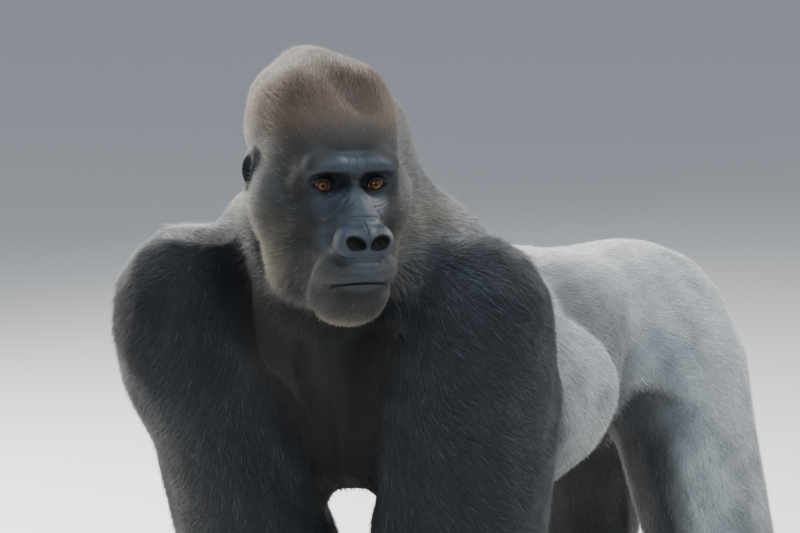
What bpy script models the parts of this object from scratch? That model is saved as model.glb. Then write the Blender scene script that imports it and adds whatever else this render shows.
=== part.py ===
"""A silverback western lowland gorilla on all fours, as a life-size still model.

Metres, +Z up. The animal faces -Y and +X is its left. Its chest and head are turned to its
left and its hindquarters a little to its right, so the spine bows. Every form reaches out to
the tips of the coat. The body is modelled whole from masses of muscle that melt into one
another, then parted by thin cuts into the pieces that a person would name.
"""

import math

import bmesh
import bpy
import numpy as np
from mathutils import Euler, Matrix, Vector

# Where the skeleton stands
SHOULDERS = Vector((-0.014, -0.350, 0.86))
HIPS = Vector((-0.030, 0.380, 0.655))
WAIST = Vector((-0.045, 0.06, 0.70))
EYES = Vector((0.135, -0.50, 1.04))
CHEST_TURN, WAIST_TURN, HIP_TURN, HEAD_TURN = 25.0, 5.0, -15.0, 57.0
HEAD_PITCH, HEAD_ROLL = 0.0, 1.5
ARM_TURNS = {"left": -5.0, "right": 20.0}

# Half widths between paired joints
SHOULDER_HALF = 0.205
HIP_HALF = 0.11
EYE_HALF = 0.036

ELBOWS = {"left": Vector((0.108, -0.215, 0.45)), "right": Vector((-0.152, -0.331, 0.46))}
WRISTS = {"left": Vector((0.135, -0.300, 0.180)), "right": Vector((-0.110, -0.420, 0.180))}
HAND_TURNS = {"left": 20.0, "right": 12.0}
KNEES = {"left": Vector((0.193, 0.297, 0.335)), "right": Vector((-0.155, 0.470, 0.365))}
ANKLES = {"left": Vector((0.197, 0.413, 0.100)), "right": Vector((-0.165, 0.500, 0.100))}
FOOT_TURNS = {"left": 4.0, "right": -22.0}
FOOT_CUT_RISE = Vector((0.0, 0.0, 0.030))

# Digits, from the first finger or toe outward
DIGITS = 4
FINGER_PITCH, TOE_PITCH = 0.0315, 0.0245

# Eyes and ears, in the frame of the head
EYE_RADIUS = 0.0130
EYE_DEPTH = 0.0050
EYE_SEGMENTS, EYE_RINGS = 16, 10
EAR_PLACE, EAR_RADII, EAR_TURN = (0.096, 0.108, 0.007), (0.014, 0.021, 0.027), (0, 0, -18)
BOWL_PLACE, BOWL_RADII = (0.113, 0.100, 0.008), (0.012, 0.013, 0.017)

# How the surface is made
VOXEL = 0.0065
TRIANGLES = 5150
MELT = 0.03
SIDES = {"left": 1, "right": -1}

# The cuts between pieces, and the gap round the eyes and ears
CUT = 0.0007
GAP = 0.0004
WELD = 0.00002
DISC_SIDES = 32
CAP_SIDES = 12
ELBOW_DISC, WRIST_DISC, KNEE_DISC, ANKLE_DISC, TRUNK_DISC = 0.145, 0.09, 0.13, 0.10, 0.32
HIP_DISCS = {"left": 0.136, "right": 0.158}
ARM_SHELL = (0.180, 0.215, 0.48)
ARM_SHELL_SHARE, ARM_SHELL_SHIFT = 0.62, Vector((0.035, -0.010, 0.0))
HIP_CUT_SHARE, HIP_CUT_TILT = 0.27, Vector((0.50, -0.15, -1.0))

COAT_DARK, COAT_BROWN, COAT_SILVER = (0.030, 0.033, 0.036), (0.105, 0.072, 0.052), (0.36, 0.37, 0.36)
SKIN, EYE = (0.022, 0.023, 0.026), (0.16, 0.055, 0.015)
COLOURS = {
    "head": COAT_BROWN,
    "neck": COAT_DARK,
    "chest": COAT_DARK,
    "belly": COAT_SILVER,
    "pelvis": COAT_SILVER,
    "upper_arm": COAT_DARK,
    "forearm": COAT_DARK,
    "hand": SKIN,
    "thigh": COAT_SILVER,
    "shin": COAT_DARK,
    "foot": SKIN,
    "ear": SKIN,
    "eye": EYE,
}
COAT_ROUGHNESS, EYE_ROUGHNESS = 0.85, 0.08


def frame_at(place, turn, pitch=0.0, roll=0.0):
    """A frame with x to the animal's left, y to its back and z up, turned by degrees."""
    turned = Matrix.Rotation(math.radians(turn), 4, "Z")
    turned = turned @ Matrix.Rotation(math.radians(pitch), 4, "X")
    return Matrix.Translation(place) @ turned @ Matrix.Rotation(math.radians(roll), 4, "Y")


WORLD = Matrix.Identity(4)
CHEST = frame_at(SHOULDERS, CHEST_TURN)
BELLY = frame_at(WAIST, WAIST_TURN)
PELVIS = frame_at(HIPS, HIP_TURN)
HEAD = frame_at(EYES, HEAD_TURN, HEAD_PITCH, HEAD_ROLL)


def smooth_min(a, b, width):
    """The lesser of two distances, rounded where they are within width of each other."""
    overlap = np.maximum(width - np.abs(a - b), 0.0) / width
    return np.minimum(a, b) - overlap * overlap * width / 4


class Egg:
    """An ellipsoid of muscle or fat."""

    def __init__(self, place, radii, melt, carve):
        self.place, self.radii, self.melt, self.carve = place, np.array(radii), melt, carve
        inverse = np.array(place.inverted())
        self.turn, self.shift = inverse[:3, :3], inverse[:3, 3]
        self.middle, self.reach = np.array(place.translation), max(radii)

    def distance(self, points):
        local = points @ self.turn.T + self.shift
        scaled = np.linalg.norm(local / self.radii, axis=1)
        steep = np.linalg.norm(local / self.radii**2, axis=1)
        return scaled * (scaled - 1.0) / np.maximum(steep, 1e-6)

    def add_to(self, bm):
        add_egg(bm, self.place, self.radii)


class Limb:
    """A tapered length with round ends, as a bone with its muscle has."""

    def __init__(self, start, end, radius_start, radius_end, melt):
        self.start, self.end, self.melt, self.carve = start, end, melt, False
        self.radii = (radius_start, radius_end)
        self.middle = np.array((start + end) / 2)
        self.reach = (end - start).length / 2 + max(self.radii)

    def distance(self, points):
        start, along = np.array(self.start), np.array(self.end - self.start)
        share = np.clip((points - start) @ along / (along @ along), 0.0, 1.0)
        nearest = start + share[:, None] * along
        radius = self.radii[0] + share * (self.radii[1] - self.radii[0])
        return np.linalg.norm(points - nearest, axis=1) - radius

    def add_to(self, bm):
        along = self.end - self.start
        middle = (self.start + self.end) / 2
        add_disc(bm, middle, along, self.radii[0], along.length, self.radii[1])
        for point, radius in zip((self.start, self.end), self.radii):
            add_egg(bm, Matrix.Translation(point), (radius, radius, radius))


class Flesh:
    """Masses in the order in which they are laid on, each melting into what is there."""

    def __init__(self):
        self.masses = {}

    def lay(self, name, mass):
        if name in self.masses:
            raise RuntimeError(f"two masses are called {name}")
        self.masses[name] = mass

    def egg(self, name, frame, centre, radii, turn=(0, 0, 0), melt=MELT, carve=False):
        tilt = Euler([math.radians(angle) for angle in turn]).to_matrix().to_4x4()
        place = frame @ Matrix.Translation(centre) @ tilt
        self.lay(name, Egg(place, radii, melt, carve))

    def eggs(self, name, frame, centre, radii, turn=(0, 0, 0), melt=MELT, carve=False):
        """A pair, mirrored in the frame's middle plane. The numbers are the left one's."""
        for hand, side in SIDES.items():
            place = (centre[0] * side, centre[1], centre[2])
            tilt = (turn[0], turn[1] * side, turn[2] * side)
            self.egg(f"{name} {hand}", frame, place, radii, tilt, melt, carve)

    def limb(self, name, frame, start, end, radius_start, radius_end, melt=MELT):
        ends = [frame @ Vector(point) for point in (start, end)]
        self.lay(name, Limb(*ends, radius_start, radius_end, melt))

    def limbs(self, name, frame, start, end, radius_start, radius_end, melt=MELT):
        """A mirrored pair, as for the eggs."""
        for hand, side in SIDES.items():
            flip = frame @ Matrix.Diagonal((side, 1, 1, 1))
            self.limb(f"{name} {hand}", flip, start, end, radius_start, radius_end, melt)

    def distance(self, points):
        """How far each point is outside the melted surface."""
        result = np.full(len(points), 1.0)
        for mass in self.masses.values():
            away = np.linalg.norm(points - mass.middle, axis=1)
            near = np.flatnonzero(away < mass.reach + 0.09)
            if not len(near):
                continue
            here = mass.distance(points[near])
            if mass.carve:
                result[near] = -smooth_min(-result[near], here, mass.melt)
            else:
                result[near] = smooth_min(result[near], here, mass.melt)
        return result


def trunk(flesh):
    """Barrel chest, shoulder girdle, back, belly and rump."""
    flesh.egg("ribs", CHEST, (0.0, 0.165, -0.085), (0.185, 0.240, 0.205), (-8, 0, 0))
    flesh.egg("breastbone", CHEST, (0.0, 0.05, -0.13), (0.14, 0.105, 0.17), melt=0.04)
    flesh.egg("withers", CHEST, (0.0, 0.09, 0.025), (0.19, 0.20, 0.105), melt=0.05)
    flesh.eggs("shoulder blade", CHEST, (0.12, 0.12, -0.01), (0.09, 0.17, 0.115), melt=0.05)
    flesh.eggs("flank", CHEST, (0.15, 0.20, -0.12), (0.07, 0.20, 0.13), melt=0.05)
    flesh.egg("paunch", BELLY, (0.0, -0.01, -0.03), (0.205, 0.25, 0.180), (9, 0, 0), melt=0.08)
    flesh.eggs("loin", BELLY, (0.06, 0.06, 0.06), (0.09, 0.26, 0.085), melt=0.06)
    flesh.egg("rump", PELVIS, (0.0, 0.01, 0.035), (0.155, 0.17, 0.145), melt=0.06)
    flesh.eggs("buttock", PELVIS, (0.075, 0.035, -0.01), (0.09, 0.10, 0.12), melt=0.05)
    flesh.eggs("breast", CHEST, (0.074, 0.004, -0.115), (0.080, 0.068, 0.115), (0, 0, 12))


def neck(flesh):
    """The great wedge of muscle from the crest down to the back, and the throat."""
    nape, withers = (0.073, 0.240, 0.01), (0.092, 0.31, -0.13)
    flesh.limb("nape", HEAD, nape, withers, 0.106, 0.137, melt=0.05)
    flesh.limb("yoke", CHEST, (0.0, -0.02, 0.09), (0.0, 0.12, 0.05), 0.10, 0.11, melt=0.08)
    flesh.limb("throat", HEAD, (0.0, 0.07, -0.10), (0.0, 0.17, -0.22), 0.07, 0.10, melt=0.05)


def head(flesh):
    """Skull, crest, brow, muzzle, jaw and cheeks, with the sockets carved under the brow."""
    flesh.egg("cranium", HEAD, (0.0, 0.115, 0.045), (0.087, 0.115, 0.09))
    flesh.egg("crest", HEAD, (0.0, 0.165, 0.088), (0.066, 0.100, 0.080))
    flesh.eggs("temple", HEAD, (0.043, 0.115, 0.07), (0.057, 0.096, 0.079))
    flesh.egg("forehead", HEAD, (0.0, 0.055, 0.048), (0.070, 0.06, 0.045))
    flesh.eggs("whisker", HEAD, (0.072, 0.070, -0.030), (0.044, 0.055, 0.062))
    flesh.eggs("jowl", HEAD, (0.052, 0.070, -0.085), (0.038, 0.058, 0.062))
    flesh.egg("jaw", HEAD, (0.0, 0.055, -0.118), (0.060, 0.070, 0.050), melt=0.04)
    flesh.limb("muzzle", HEAD, (0.0, 0.012, -0.040), (0.0, -0.010, -0.105), 0.040, 0.050)
    flesh.limbs("jawbone", HEAD, (0.016, -0.012, -0.145), (0.048, 0.06, -0.112), 0.034, 0.036)
    flesh.limbs("cheekbone", HEAD, (0.030, 0.004, -0.036), (0.060, 0.024, -0.034), 0.020, 0.022)
    inner, outer, corner = (0.026, -0.020, 0.030), (0.049, -0.014, 0.028), (0.060, 0.009, -0.004)
    across = (-inner[0], inner[1], inner[2])
    flesh.eggs("temple bone", HEAD, (0.052, 0.038, 0.013), (0.019, 0.030, 0.028), melt=0.03)
    flesh.limb("brow", HEAD, across, inner, 0.0138, 0.0138, melt=0.018)
    flesh.limbs("brow end", HEAD, inner, outer, 0.0138, 0.0125, melt=0.015)
    flesh.limbs("socket rim", HEAD, outer, corner, 0.012, 0.012, melt=0.02)
    flesh.limb("bridge", HEAD, (0.0, 0.005, 0.012), (0.0, -0.036, -0.042), 0.019, 0.028, melt=0.022)
    flesh.egg("upper lip", HEAD, (0.0, -0.026, -0.102), (0.057, 0.053, 0.037), melt=0.016)
    flesh.egg("lower lip", HEAD, (0.0, -0.028, -0.134), (0.045, 0.042, 0.023), melt=0.010)
    flesh.egg("chin", HEAD, (0.0, -0.012, -0.152), (0.042, 0.040, 0.030), melt=0.02)
    hollow = {"melt": 0.014, "carve": True}
    flesh.eggs("socket", HEAD, (0.035, -0.020, 0.004), (0.024, 0.020, 0.014), **hollow)
    flesh.eggs("nostril wing", HEAD, (0.0240, -0.060, -0.065), (0.0205, 0.024, 0.0240), melt=0.008)
    flesh.egg("nose tip", HEAD, (0.0, -0.068, -0.056), (0.021, 0.0185, 0.0185), melt=0.010)


def shoulder_of(name):
    return CHEST @ Vector((SIDES[name] * SHOULDER_HALF, 0.0, -0.02))


def hip_of(name):
    return PELVIS @ Vector((SIDES[name] * HIP_HALF, 0.0, -0.02))


def arm(flesh, name):
    """Shoulder to wrist, with the long hair of the forearm."""
    side = SIDES[name]
    shoulder, elbow, wrist = shoulder_of(name), ELBOWS[name], WRISTS[name]
    cap = frame_at(shoulder, ARM_TURNS[name])
    behind = cap.to_3x3() @ Vector((0.0, 0.050, 0.0))
    ahead = cap.to_3x3() @ Vector((-side * 0.020, -0.050, 0.0))
    thick = elbow.lerp(wrist, 0.35)
    triceps = (shoulder.lerp(elbow, 0.35) + behind, elbow + behind * 0.5)
    biceps = (shoulder.lerp(elbow, 0.3) + ahead, shoulder.lerp(elbow, 0.85) + ahead)
    flesh.egg(f"deltoid {name}", cap, (0.0, 0.0, -0.04), (0.096, 0.130, 0.150))
    flesh.limb(f"upper arm {name}", WORLD, shoulder, elbow, 0.092, 0.116, melt=0.04)
    flesh.limb(f"triceps {name}", WORLD, *triceps, 0.100, 0.098)
    flesh.limb(f"biceps {name}", WORLD, *biceps, 0.08, 0.088)
    flesh.limb(f"forearm {name}", WORLD, elbow, thick, 0.112, 0.108)
    flesh.limb(f"lower forearm {name}", WORLD, thick, wrist, 0.102, 0.062)


def hand(flesh, name):
    """A hand on its knuckles: palm upright, fingers folded back under it."""
    side = SIDES[name]
    wrist = WRISTS[name]
    frame = frame_at((wrist.x, wrist.y, 0.0), HAND_TURNS[name])
    flesh.egg(f"palm {name}", frame, (0.0, 0.012, 0.140), (0.056, 0.038, 0.055), melt=0.02)
    for finger in range(DIGITS):
        spread = finger - (DIGITS - 1) / 2
        reach = 1.0 - 0.08 * abs(spread)
        x = side * spread * FINGER_PITCH
        root = (x * 0.75, 0.012, 0.165)
        knuckle = (x, -0.010, 0.098)
        joint = (x * 1.05, -0.010 - 0.042 * reach, 0.0175)
        bend = (x * 1.02, 0.010 - 0.012 * reach, 0.0168)
        tip = (x * 0.98, 0.032 - 0.012 * reach, 0.036)
        title = f"finger {finger} {name}"
        flesh.limb(f"back of {title}", frame, root, knuckle, 0.026, 0.0235, melt=0.012)
        flesh.limb(f"first of {title}", frame, knuckle, joint, 0.0205, 0.0185, melt=0.006)
        flesh.limb(f"second of {title}", frame, joint, bend, 0.0182, 0.0172, melt=0.004)
        flesh.limb(f"tip of {title}", frame, bend, tip, 0.0165, 0.0145, melt=0.003)
    base = (-side * 0.042, 0.030, 0.150)
    middle = (-side * 0.068, 0.034, 0.108)
    end = (-side * 0.074, 0.022, 0.072)
    flesh.limb(f"ball of thumb {name}", frame, base, middle, 0.024, 0.0175, melt=0.02)
    flesh.limb(f"thumb {name}", frame, middle, end, 0.0165, 0.0135, melt=0.005)


def leg(flesh, name):
    """Hip to ankle."""
    side = SIDES[name]
    hip, knee, ankle = hip_of(name), KNEES[name], ANKLES[name]
    behind = PELVIS.to_3x3() @ Vector((side * 0.01, 0.026, 0.0))
    hamstring = (hip + behind, knee.lerp(hip, 0.10) + behind * 1.4)
    calf = (knee.lerp(ankle, 0.05) + behind * 0.8, knee.lerp(ankle, 0.45) + behind * 0.7)
    flesh.limb(f"thigh {name}", WORLD, hip, knee, 0.112, 0.088, melt=0.05)
    flesh.limb(f"hamstring {name}", WORLD, *hamstring, 0.094, 0.078, melt=0.04)
    flesh.limb(f"shin {name}", WORLD, knee, ankle, 0.088, 0.058)
    flesh.limb(f"calf {name}", WORLD, *calf, 0.070, 0.062)


def foot(flesh, name):
    """A foot flat on the ground, with its great toe standing off like a thumb."""
    side = SIDES[name]
    ankle = ANKLES[name]
    frame = frame_at((ankle.x, ankle.y, 0.0), FOOT_TURNS[name])
    instep = ((0.0, 0.005, 0.064), (0.0, -0.10, 0.036))
    flesh.egg(f"heel {name}", frame, (0.0, 0.038, 0.038), (0.041, 0.052, 0.043))
    flesh.limb(f"instep {name}", frame, *instep, 0.046, 0.033)
    flesh.egg(f"ball {name}", frame, (side * 0.004, -0.08, 0.029), (0.052, 0.080, 0.032), melt=0.02)
    for toe in range(DIGITS):
        spread = toe - (DIGITS - 1) / 2
        x = side * (0.006 + spread * TOE_PITCH)
        reach = 0.058 - 0.007 * abs(spread + 0.3) ** 1.5
        start = (x, -0.130, 0.026)
        bend = (x * 1.1, -0.130 - reach * 0.6, 0.0265)
        tip = (x * 1.15, -0.130 - reach, 0.0145)
        flesh.limb(f"root of toe {toe} {name}", frame, start, bend, 0.0175, 0.0158, melt=0.008)
        flesh.limb(f"tip of toe {toe} {name}", frame, bend, tip, 0.0155, 0.0148, melt=0.003)
    root = (-side * 0.028, -0.038, 0.033)
    bend = (-side * 0.074, -0.090, 0.0245)
    tip = (-side * 0.088, -0.128, 0.0185)
    flesh.limb(f"root of great toe {name}", frame, root, bend, 0.029, 0.0215, melt=0.02)
    flesh.limb(f"great toe {name}", frame, bend, tip, 0.0205, 0.0190, melt=0.005)


def whole_body():
    flesh = Flesh()
    trunk(flesh)
    neck(flesh)
    for name in SIDES:
        arm(flesh, name)
        leg(flesh, name)
    head(flesh)
    for name in SIDES:
        hand(flesh, name)
        foot(flesh, name)
    return flesh


def add_egg(bm, place, radii, subdivisions=3):
    stretched = place @ Matrix.Diagonal((*radii, 1.0))
    bmesh.ops.create_icosphere(bm, subdivisions=subdivisions, radius=1.0, matrix=stretched)


def add_disc(bm, centre, along, radius, depth, radius_end=None):
    """A straight or tapered disc about an axis."""
    turned = along.to_track_quat("Z", "Y").to_matrix().to_4x4()
    bmesh.ops.create_cone(
        bm,
        cap_ends=True,
        segments=DISC_SIDES,
        radius1=radius,
        radius2=radius if radius_end is None else radius_end,
        depth=depth,
        matrix=Matrix.Translation(centre) @ turned,
    )


def collection(name, hidden=False):
    made = bpy.data.collections.new(name)
    bpy.context.scene.collection.children.link(made)
    made.hide_render = hidden
    return made


def add_object(name, mesh, into):
    made = bpy.data.objects.new(name, mesh)
    into.objects.link(made)
    return made


def from_bmesh(name, bm, into):
    mesh = bpy.data.meshes.new(name)
    bm.to_mesh(mesh)
    bm.free()
    return add_object(name, mesh, into)


def evaluated_mesh(source):
    """The object's mesh with its modifiers applied, as new data."""
    bpy.context.view_layer.update()
    graph = bpy.context.evaluated_depsgraph_get()
    return bpy.data.meshes.new_from_object(source.evaluated_get(graph))


def coordinates(mesh):
    points = np.empty(len(mesh.vertices) * 3, np.float32)
    mesh.vertices.foreach_get("co", points)
    return points.reshape(-1, 3).astype(float)


def neighbours_mean(points, edges):
    total, count = np.zeros_like(points), np.zeros(len(points))
    for a, b in ((0, 1), (1, 0)):
        np.add.at(total, edges[:, a], points[edges[:, b]])
        np.add.at(count, edges[:, a], 1)
    return total / np.maximum(count, 1)[:, None]


def stand(mesh, points):
    """Sets the vertices, with all that is under or within a hair of the floor flat on it."""
    points[points[:, 2] < GAP, 2] = 0.0
    mesh.vertices.foreach_set("co", points.astype(np.float32).ravel())
    mesh.update()


def settle(mesh, flesh, rounds=5, step=0.0008):
    """Moves the vertices of the joined masses onto the surface where they melt together."""
    points = coordinates(mesh)
    edges = np.empty(len(mesh.edges) * 2, np.int32)
    mesh.edges.foreach_get("vertices", edges)
    edges = edges.reshape(-1, 2)
    for turn in range(rounds):
        if 0 < turn < rounds - 1:
            points += 0.5 * (neighbours_mean(points, edges) - points)
        here = flesh.distance(points)
        slope = np.empty_like(points)
        for axis in range(3):
            aside = np.zeros(3)
            aside[axis] = step
            slope[:, axis] = flesh.distance(points + aside) - here
        slope /= step
        size = np.maximum((slope**2).sum(1), 0.25)
        points -= slope * np.clip(here / size, -0.015, 0.015)[:, None]
    stand(mesh, points)


def melted(flesh, into):
    """One closed mesh of all the masses, thinned to the triangles wanted."""
    bm = bmesh.new()
    for mass in flesh.masses.values():
        if not mass.carve:
            mass.add_to(bm)
    blank = from_bmesh("masses", bm, into)
    remesh = blank.modifiers.new("one skin", "REMESH")
    remesh.mode = "VOXEL"
    remesh.voxel_size = VOXEL
    mesh = evaluated_mesh(blank)
    settle(mesh, flesh)
    body = add_object("body", mesh, into)
    keep_fine(body)
    faces = sum(len(face.vertices) - 2 for face in mesh.polygons)
    thin = body.modifiers.new("thin out", "DECIMATE")
    thin.ratio = TRIANGLES / faces
    thin.vertex_group = "coarse"
    thin.vertex_group_factor = 0.35
    thinned = evaluated_mesh(body)
    stand(thinned, coordinates(thinned))
    return add_object("thinned", thinned, into)


def keep_fine(body):
    """A vertex group that spares the face, hands and feet when the mesh is thinned."""
    group = body.vertex_groups.new(name="coarse")
    points = coordinates(body.data)
    face = np.array(HEAD @ Vector((0.0, 0.0, -0.05)))
    fine = np.clip(np.linalg.norm(points - face, axis=1) / 0.16 - 0.4, 0.0, 1.0)
    fine = np.minimum(fine, np.clip((points[:, 2] - 0.10) / 0.08, 0.35, 1.0))
    for index, value in enumerate(fine):
        group.add([index], float(value), "REPLACE")


def cut_away(target, cutter):
    """The target's mesh less the cutter."""
    cutter.display_type = "WIRE"
    cutter.hide_render = True
    boolean = target.modifiers.new(cutter.name, "BOOLEAN")
    boolean.operation = "DIFFERENCE"
    boolean.solver = "EXACT"
    boolean.object = cutter
    return evaluated_mesh(target)


def disc_cut(name, centre, along, radius, into):
    bm = bmesh.new()
    add_disc(bm, centre, along, radius, CUT)
    return from_bmesh(f"cut {name}", bm, into)


def shell_cut(name, place, radii, into):
    """A thin hollow egg."""
    bm = bmesh.new()
    add_egg(bm, place, radii)
    for face in bm.faces:
        face.normal_flip()
    add_egg(bm, place, [radius + CUT for radius in radii])
    return from_bmesh(f"cut {name}", bm, into)


def islands(mesh):
    """The vertex sets of the separate closed bodies in a mesh."""
    label = np.arange(len(mesh.vertices))
    edges = np.empty(len(mesh.edges) * 2, np.int32)
    mesh.edges.foreach_get("vertices", edges)
    a, b = edges.reshape(-1, 2).T
    while True:
        lower = label.copy()
        np.minimum.at(lower, a, label[b])
        np.minimum.at(lower, b, label[a])
        lower = lower[lower]
        if (lower == label).all():
            return [label == value for value in np.unique(label)]
        label = lower


def only(mesh, keep, name):
    bm = bmesh.new()
    bm.from_mesh(mesh)
    unwanted = [vertex for vertex in bm.verts if not keep[vertex.index]]
    bmesh.ops.delete(bm, geom=unwanted, context="VERTS")
    kept = bpy.data.meshes.new(name)
    bm.to_mesh(kept)
    bm.free()
    return kept


def part_off(pieces, source, name, cutter, side_of):
    """Cuts a piece in two. The half on the positive side of the cut takes the new name."""
    mesh = cut_away(pieces[source], cutter)
    points = coordinates(mesh)
    halves = islands(mesh)
    if len(halves) != 2:
        raise RuntimeError(f"the cut for {name} made {len(halves)} pieces")
    halves.sort(key=lambda half: (side_of(points[half]) > -CUT).mean())
    into = cutter.users_collection[0]
    pieces[name] = add_object(f"{name} cut", only(mesh, halves[1], name), into)
    pieces[source] = add_object(f"{source} less {name}", only(mesh, halves[0], source), into)


def part_by_disc(pieces, source, name, centre, along, radius, into):
    """The half that the direction points at takes the new name."""
    along = Vector(along).normalized()
    middle, direction = np.array(centre), np.array(along)
    cutter = disc_cut(name, Vector(centre), along, radius, into)
    part_off(pieces, source, name, cutter, lambda points: (points - middle) @ direction)


def part_limbs(pieces, into):
    for name, side in SIDES.items():
        shoulder, elbow, wrist = shoulder_of(name), ELBOWS[name], WRISTS[name]
        hip, knee, ankle = hip_of(name), KNEES[name], ANKLES[name]
        forearm, hand_name, upper_arm = f"forearm_{name}", f"hand_{name}", f"upper_arm_{name}"
        shin, foot_name, thigh = f"shin_{name}", f"foot_{name}", f"thigh_{name}"
        part_by_disc(pieces, "chest", forearm, elbow, wrist - shoulder, ELBOW_DISC, into)
        part_by_disc(pieces, forearm, hand_name, wrist, wrist - elbow, WRIST_DISC, into)
        part_by_disc(pieces, "chest", shin, knee, ankle - hip, KNEE_DISC, into)
        above = ankle + FOOT_CUT_RISE
        part_by_disc(pieces, shin, foot_name, above, ankle - knee, ANKLE_DISC, into)
        tilt = Vector((side * HIP_CUT_TILT.x, HIP_CUT_TILT.y, HIP_CUT_TILT.z))
        top = hip.lerp(knee, HIP_CUT_SHARE)
        part_by_disc(pieces, "chest", thigh, top, PELVIS.to_3x3() @ tilt, HIP_DISCS[name], into)
        shift = Vector((side * ARM_SHELL_SHIFT.x, ARM_SHELL_SHIFT.y, ARM_SHELL_SHIFT.z))
        centre = shoulder.lerp(elbow, ARM_SHELL_SHARE) + CHEST.to_3x3() @ shift
        place = along_frame(centre, shoulder - elbow, CHEST.to_3x3() @ Vector((0.0, 1.0, 0.0)))
        egg = Egg(place, ARM_SHELL, MELT, False)
        shell = shell_cut(upper_arm, place, ARM_SHELL, into)
        part_off(pieces, "chest", upper_arm, shell, lambda points: -egg.distance(points))


def along_frame(centre, along, back):
    """A frame with z along one direction and y as near as may be to another."""
    z = along.normalized()
    x = back.cross(z).normalized()
    y = z.cross(x)
    turned = Matrix((x, y, z)).transposed().to_4x4()
    return Matrix.Translation(centre) @ turned


def part_trunk(pieces, into):
    nape, nape_way = HEAD @ Vector((0.03, 0.27, -0.15)), Vector((-0.1, -0.8, 0.6))
    skull, skull_way = HEAD @ Vector((0.0, 0.165, -0.085)), Vector((0.0, -0.8, 0.6))
    turned = HEAD.to_3x3()
    part_by_disc(pieces, "chest", "neck", nape, turned @ nape_way, TRUNK_DISC, into)
    part_by_disc(pieces, "neck", "head", skull, turned @ skull_way, TRUNK_DISC, into)
    loin, loin_way = (-0.035, 0.20, 0.70), (0.1, 1.0, 0.0)
    part_by_disc(pieces, "chest", "pelvis", loin, loin_way, TRUNK_DISC, into)
    waist, waist_way = (-0.03, 0.0, 0.74), (-0.15, 1.0, -0.1)
    part_by_disc(pieces, "chest", "belly", waist, waist_way, TRUNK_DISC, into)


def add_eyes(pieces, into):
    for name, side in SIDES.items():
        place = HEAD @ Vector((side * EYE_HALF, EYE_DEPTH, 0.0))
        socket = bmesh.new()
        add_egg(socket, Matrix.Translation(place), [EYE_RADIUS + GAP] * 3)
        hollow = from_bmesh(f"eye hollow {name}", socket, into)
        pieces["head"] = add_object(f"head {name}", cut_away(pieces["head"], hollow), into)
        ball = bmesh.new()
        bmesh.ops.create_uvsphere(
            ball,
            u_segments=EYE_SEGMENTS,
            v_segments=EYE_RINGS,
            radius=EYE_RADIUS,
            matrix=HEAD.to_3x3().to_4x4() @ Matrix.Rotation(math.pi / 2, 4, "X"),
        )
        bmesh.ops.translate(ball, verts=ball.verts, vec=place)
        pieces[f"eye_{name}"] = from_bmesh(f"ball {name}", ball, into)


def add_ears(pieces, into):
    """Each ear is a shallow cup that stops a hair's breadth short of the head."""
    swollen = pieces["head"].data.copy()
    points = coordinates(swollen)
    normals = np.array([vertex.normal[:] for vertex in swollen.vertices])
    swollen.vertices.foreach_set("co", (points + normals * GAP).astype(np.float32).ravel())
    swollen.update()
    side_of_head = add_object("head swollen", swollen, into)
    for name, side in SIDES.items():
        flip = HEAD @ Matrix.Diagonal((side, 1, 1, 1))
        tilt = Euler([math.radians(angle) for angle in EAR_TURN]).to_matrix().to_4x4()
        cup = bmesh.new()
        add_egg(cup, flip @ Matrix.Translation(EAR_PLACE) @ tilt, EAR_RADII, subdivisions=2)
        if side < 0:
            bmesh.ops.reverse_faces(cup, faces=cup.faces)
        bowl = bmesh.new()
        add_egg(bowl, flip @ Matrix.Translation(BOWL_PLACE), BOWL_RADII, subdivisions=2)
        if side < 0:
            bmesh.ops.reverse_faces(bowl, faces=bowl.faces)
        ear = from_bmesh(f"cup {name}", cup, into)
        ear = add_object(f"bowled {name}", cut_away(ear, from_bmesh(f"bowl {name}", bowl, into)), into)
        pieces[f"ear_{name}"] = add_object(f"ear {name}", cut_away(ear, side_of_head), into)


def triangulated(mesh):
    bm = bmesh.new()
    bm.from_mesh(mesh)
    bmesh.ops.remove_doubles(bm, verts=bm.verts, dist=WELD)
    bmesh.ops.poke(bm, faces=[face for face in bm.faces if len(face.verts) > CAP_SIDES])
    bmesh.ops.triangulate(bm, faces=bm.faces)
    bm.to_mesh(mesh)
    bm.free()


def material_for(node):
    kind = node.removesuffix("_left").removesuffix("_right")
    made = bpy.data.materials.new(node)
    made.use_nodes = True
    surface = made.node_tree.nodes["Principled BSDF"]
    surface.inputs["Base Color"].default_value = (*COLOURS[kind], 1.0)
    surface.inputs["Roughness"].default_value = EYE_ROUGHNESS if kind == "eye" else COAT_ROUGHNESS
    return made


def hand_over(pieces, into):
    """Puts the named pieces in the object's collection, centred over the floor."""
    corners = [coordinates(piece.data) for piece in pieces.values()]
    low = np.min([corner.min(0) for corner in corners], axis=0)
    high = np.max([corner.max(0) for corner in corners], axis=0)
    centre = (low + high) / 2
    shift = Matrix.Translation((-centre[0], -centre[1], -low[2]))
    for name in sorted(pieces):
        mesh = pieces[name].data.copy()
        mesh.transform(shift)
        triangulated(mesh)
        mesh.materials.clear()
        mesh.materials.append(material_for(name))
        mesh.name = name
        add_object(name, mesh, into)


def main():
    for item in list(bpy.data.objects):
        bpy.data.objects.remove(item)
    parts = collection("gorilla")
    helpers = collection("cutters", hidden=True)
    pieces = {"chest": melted(whole_body(), helpers)}
    part_limbs(pieces, helpers)
    part_trunk(pieces, helpers)
    add_eyes(pieces, helpers)
    add_ears(pieces, helpers)
    hand_over(pieces, parts)
    for helper in helpers.objects:
        helper.display_type = "WIRE"
        helper.hide_render = True


main()
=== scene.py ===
"""A silverback gorilla on all fours: one skin over the solids, with eyes, nails and coat."""

import math

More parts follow.
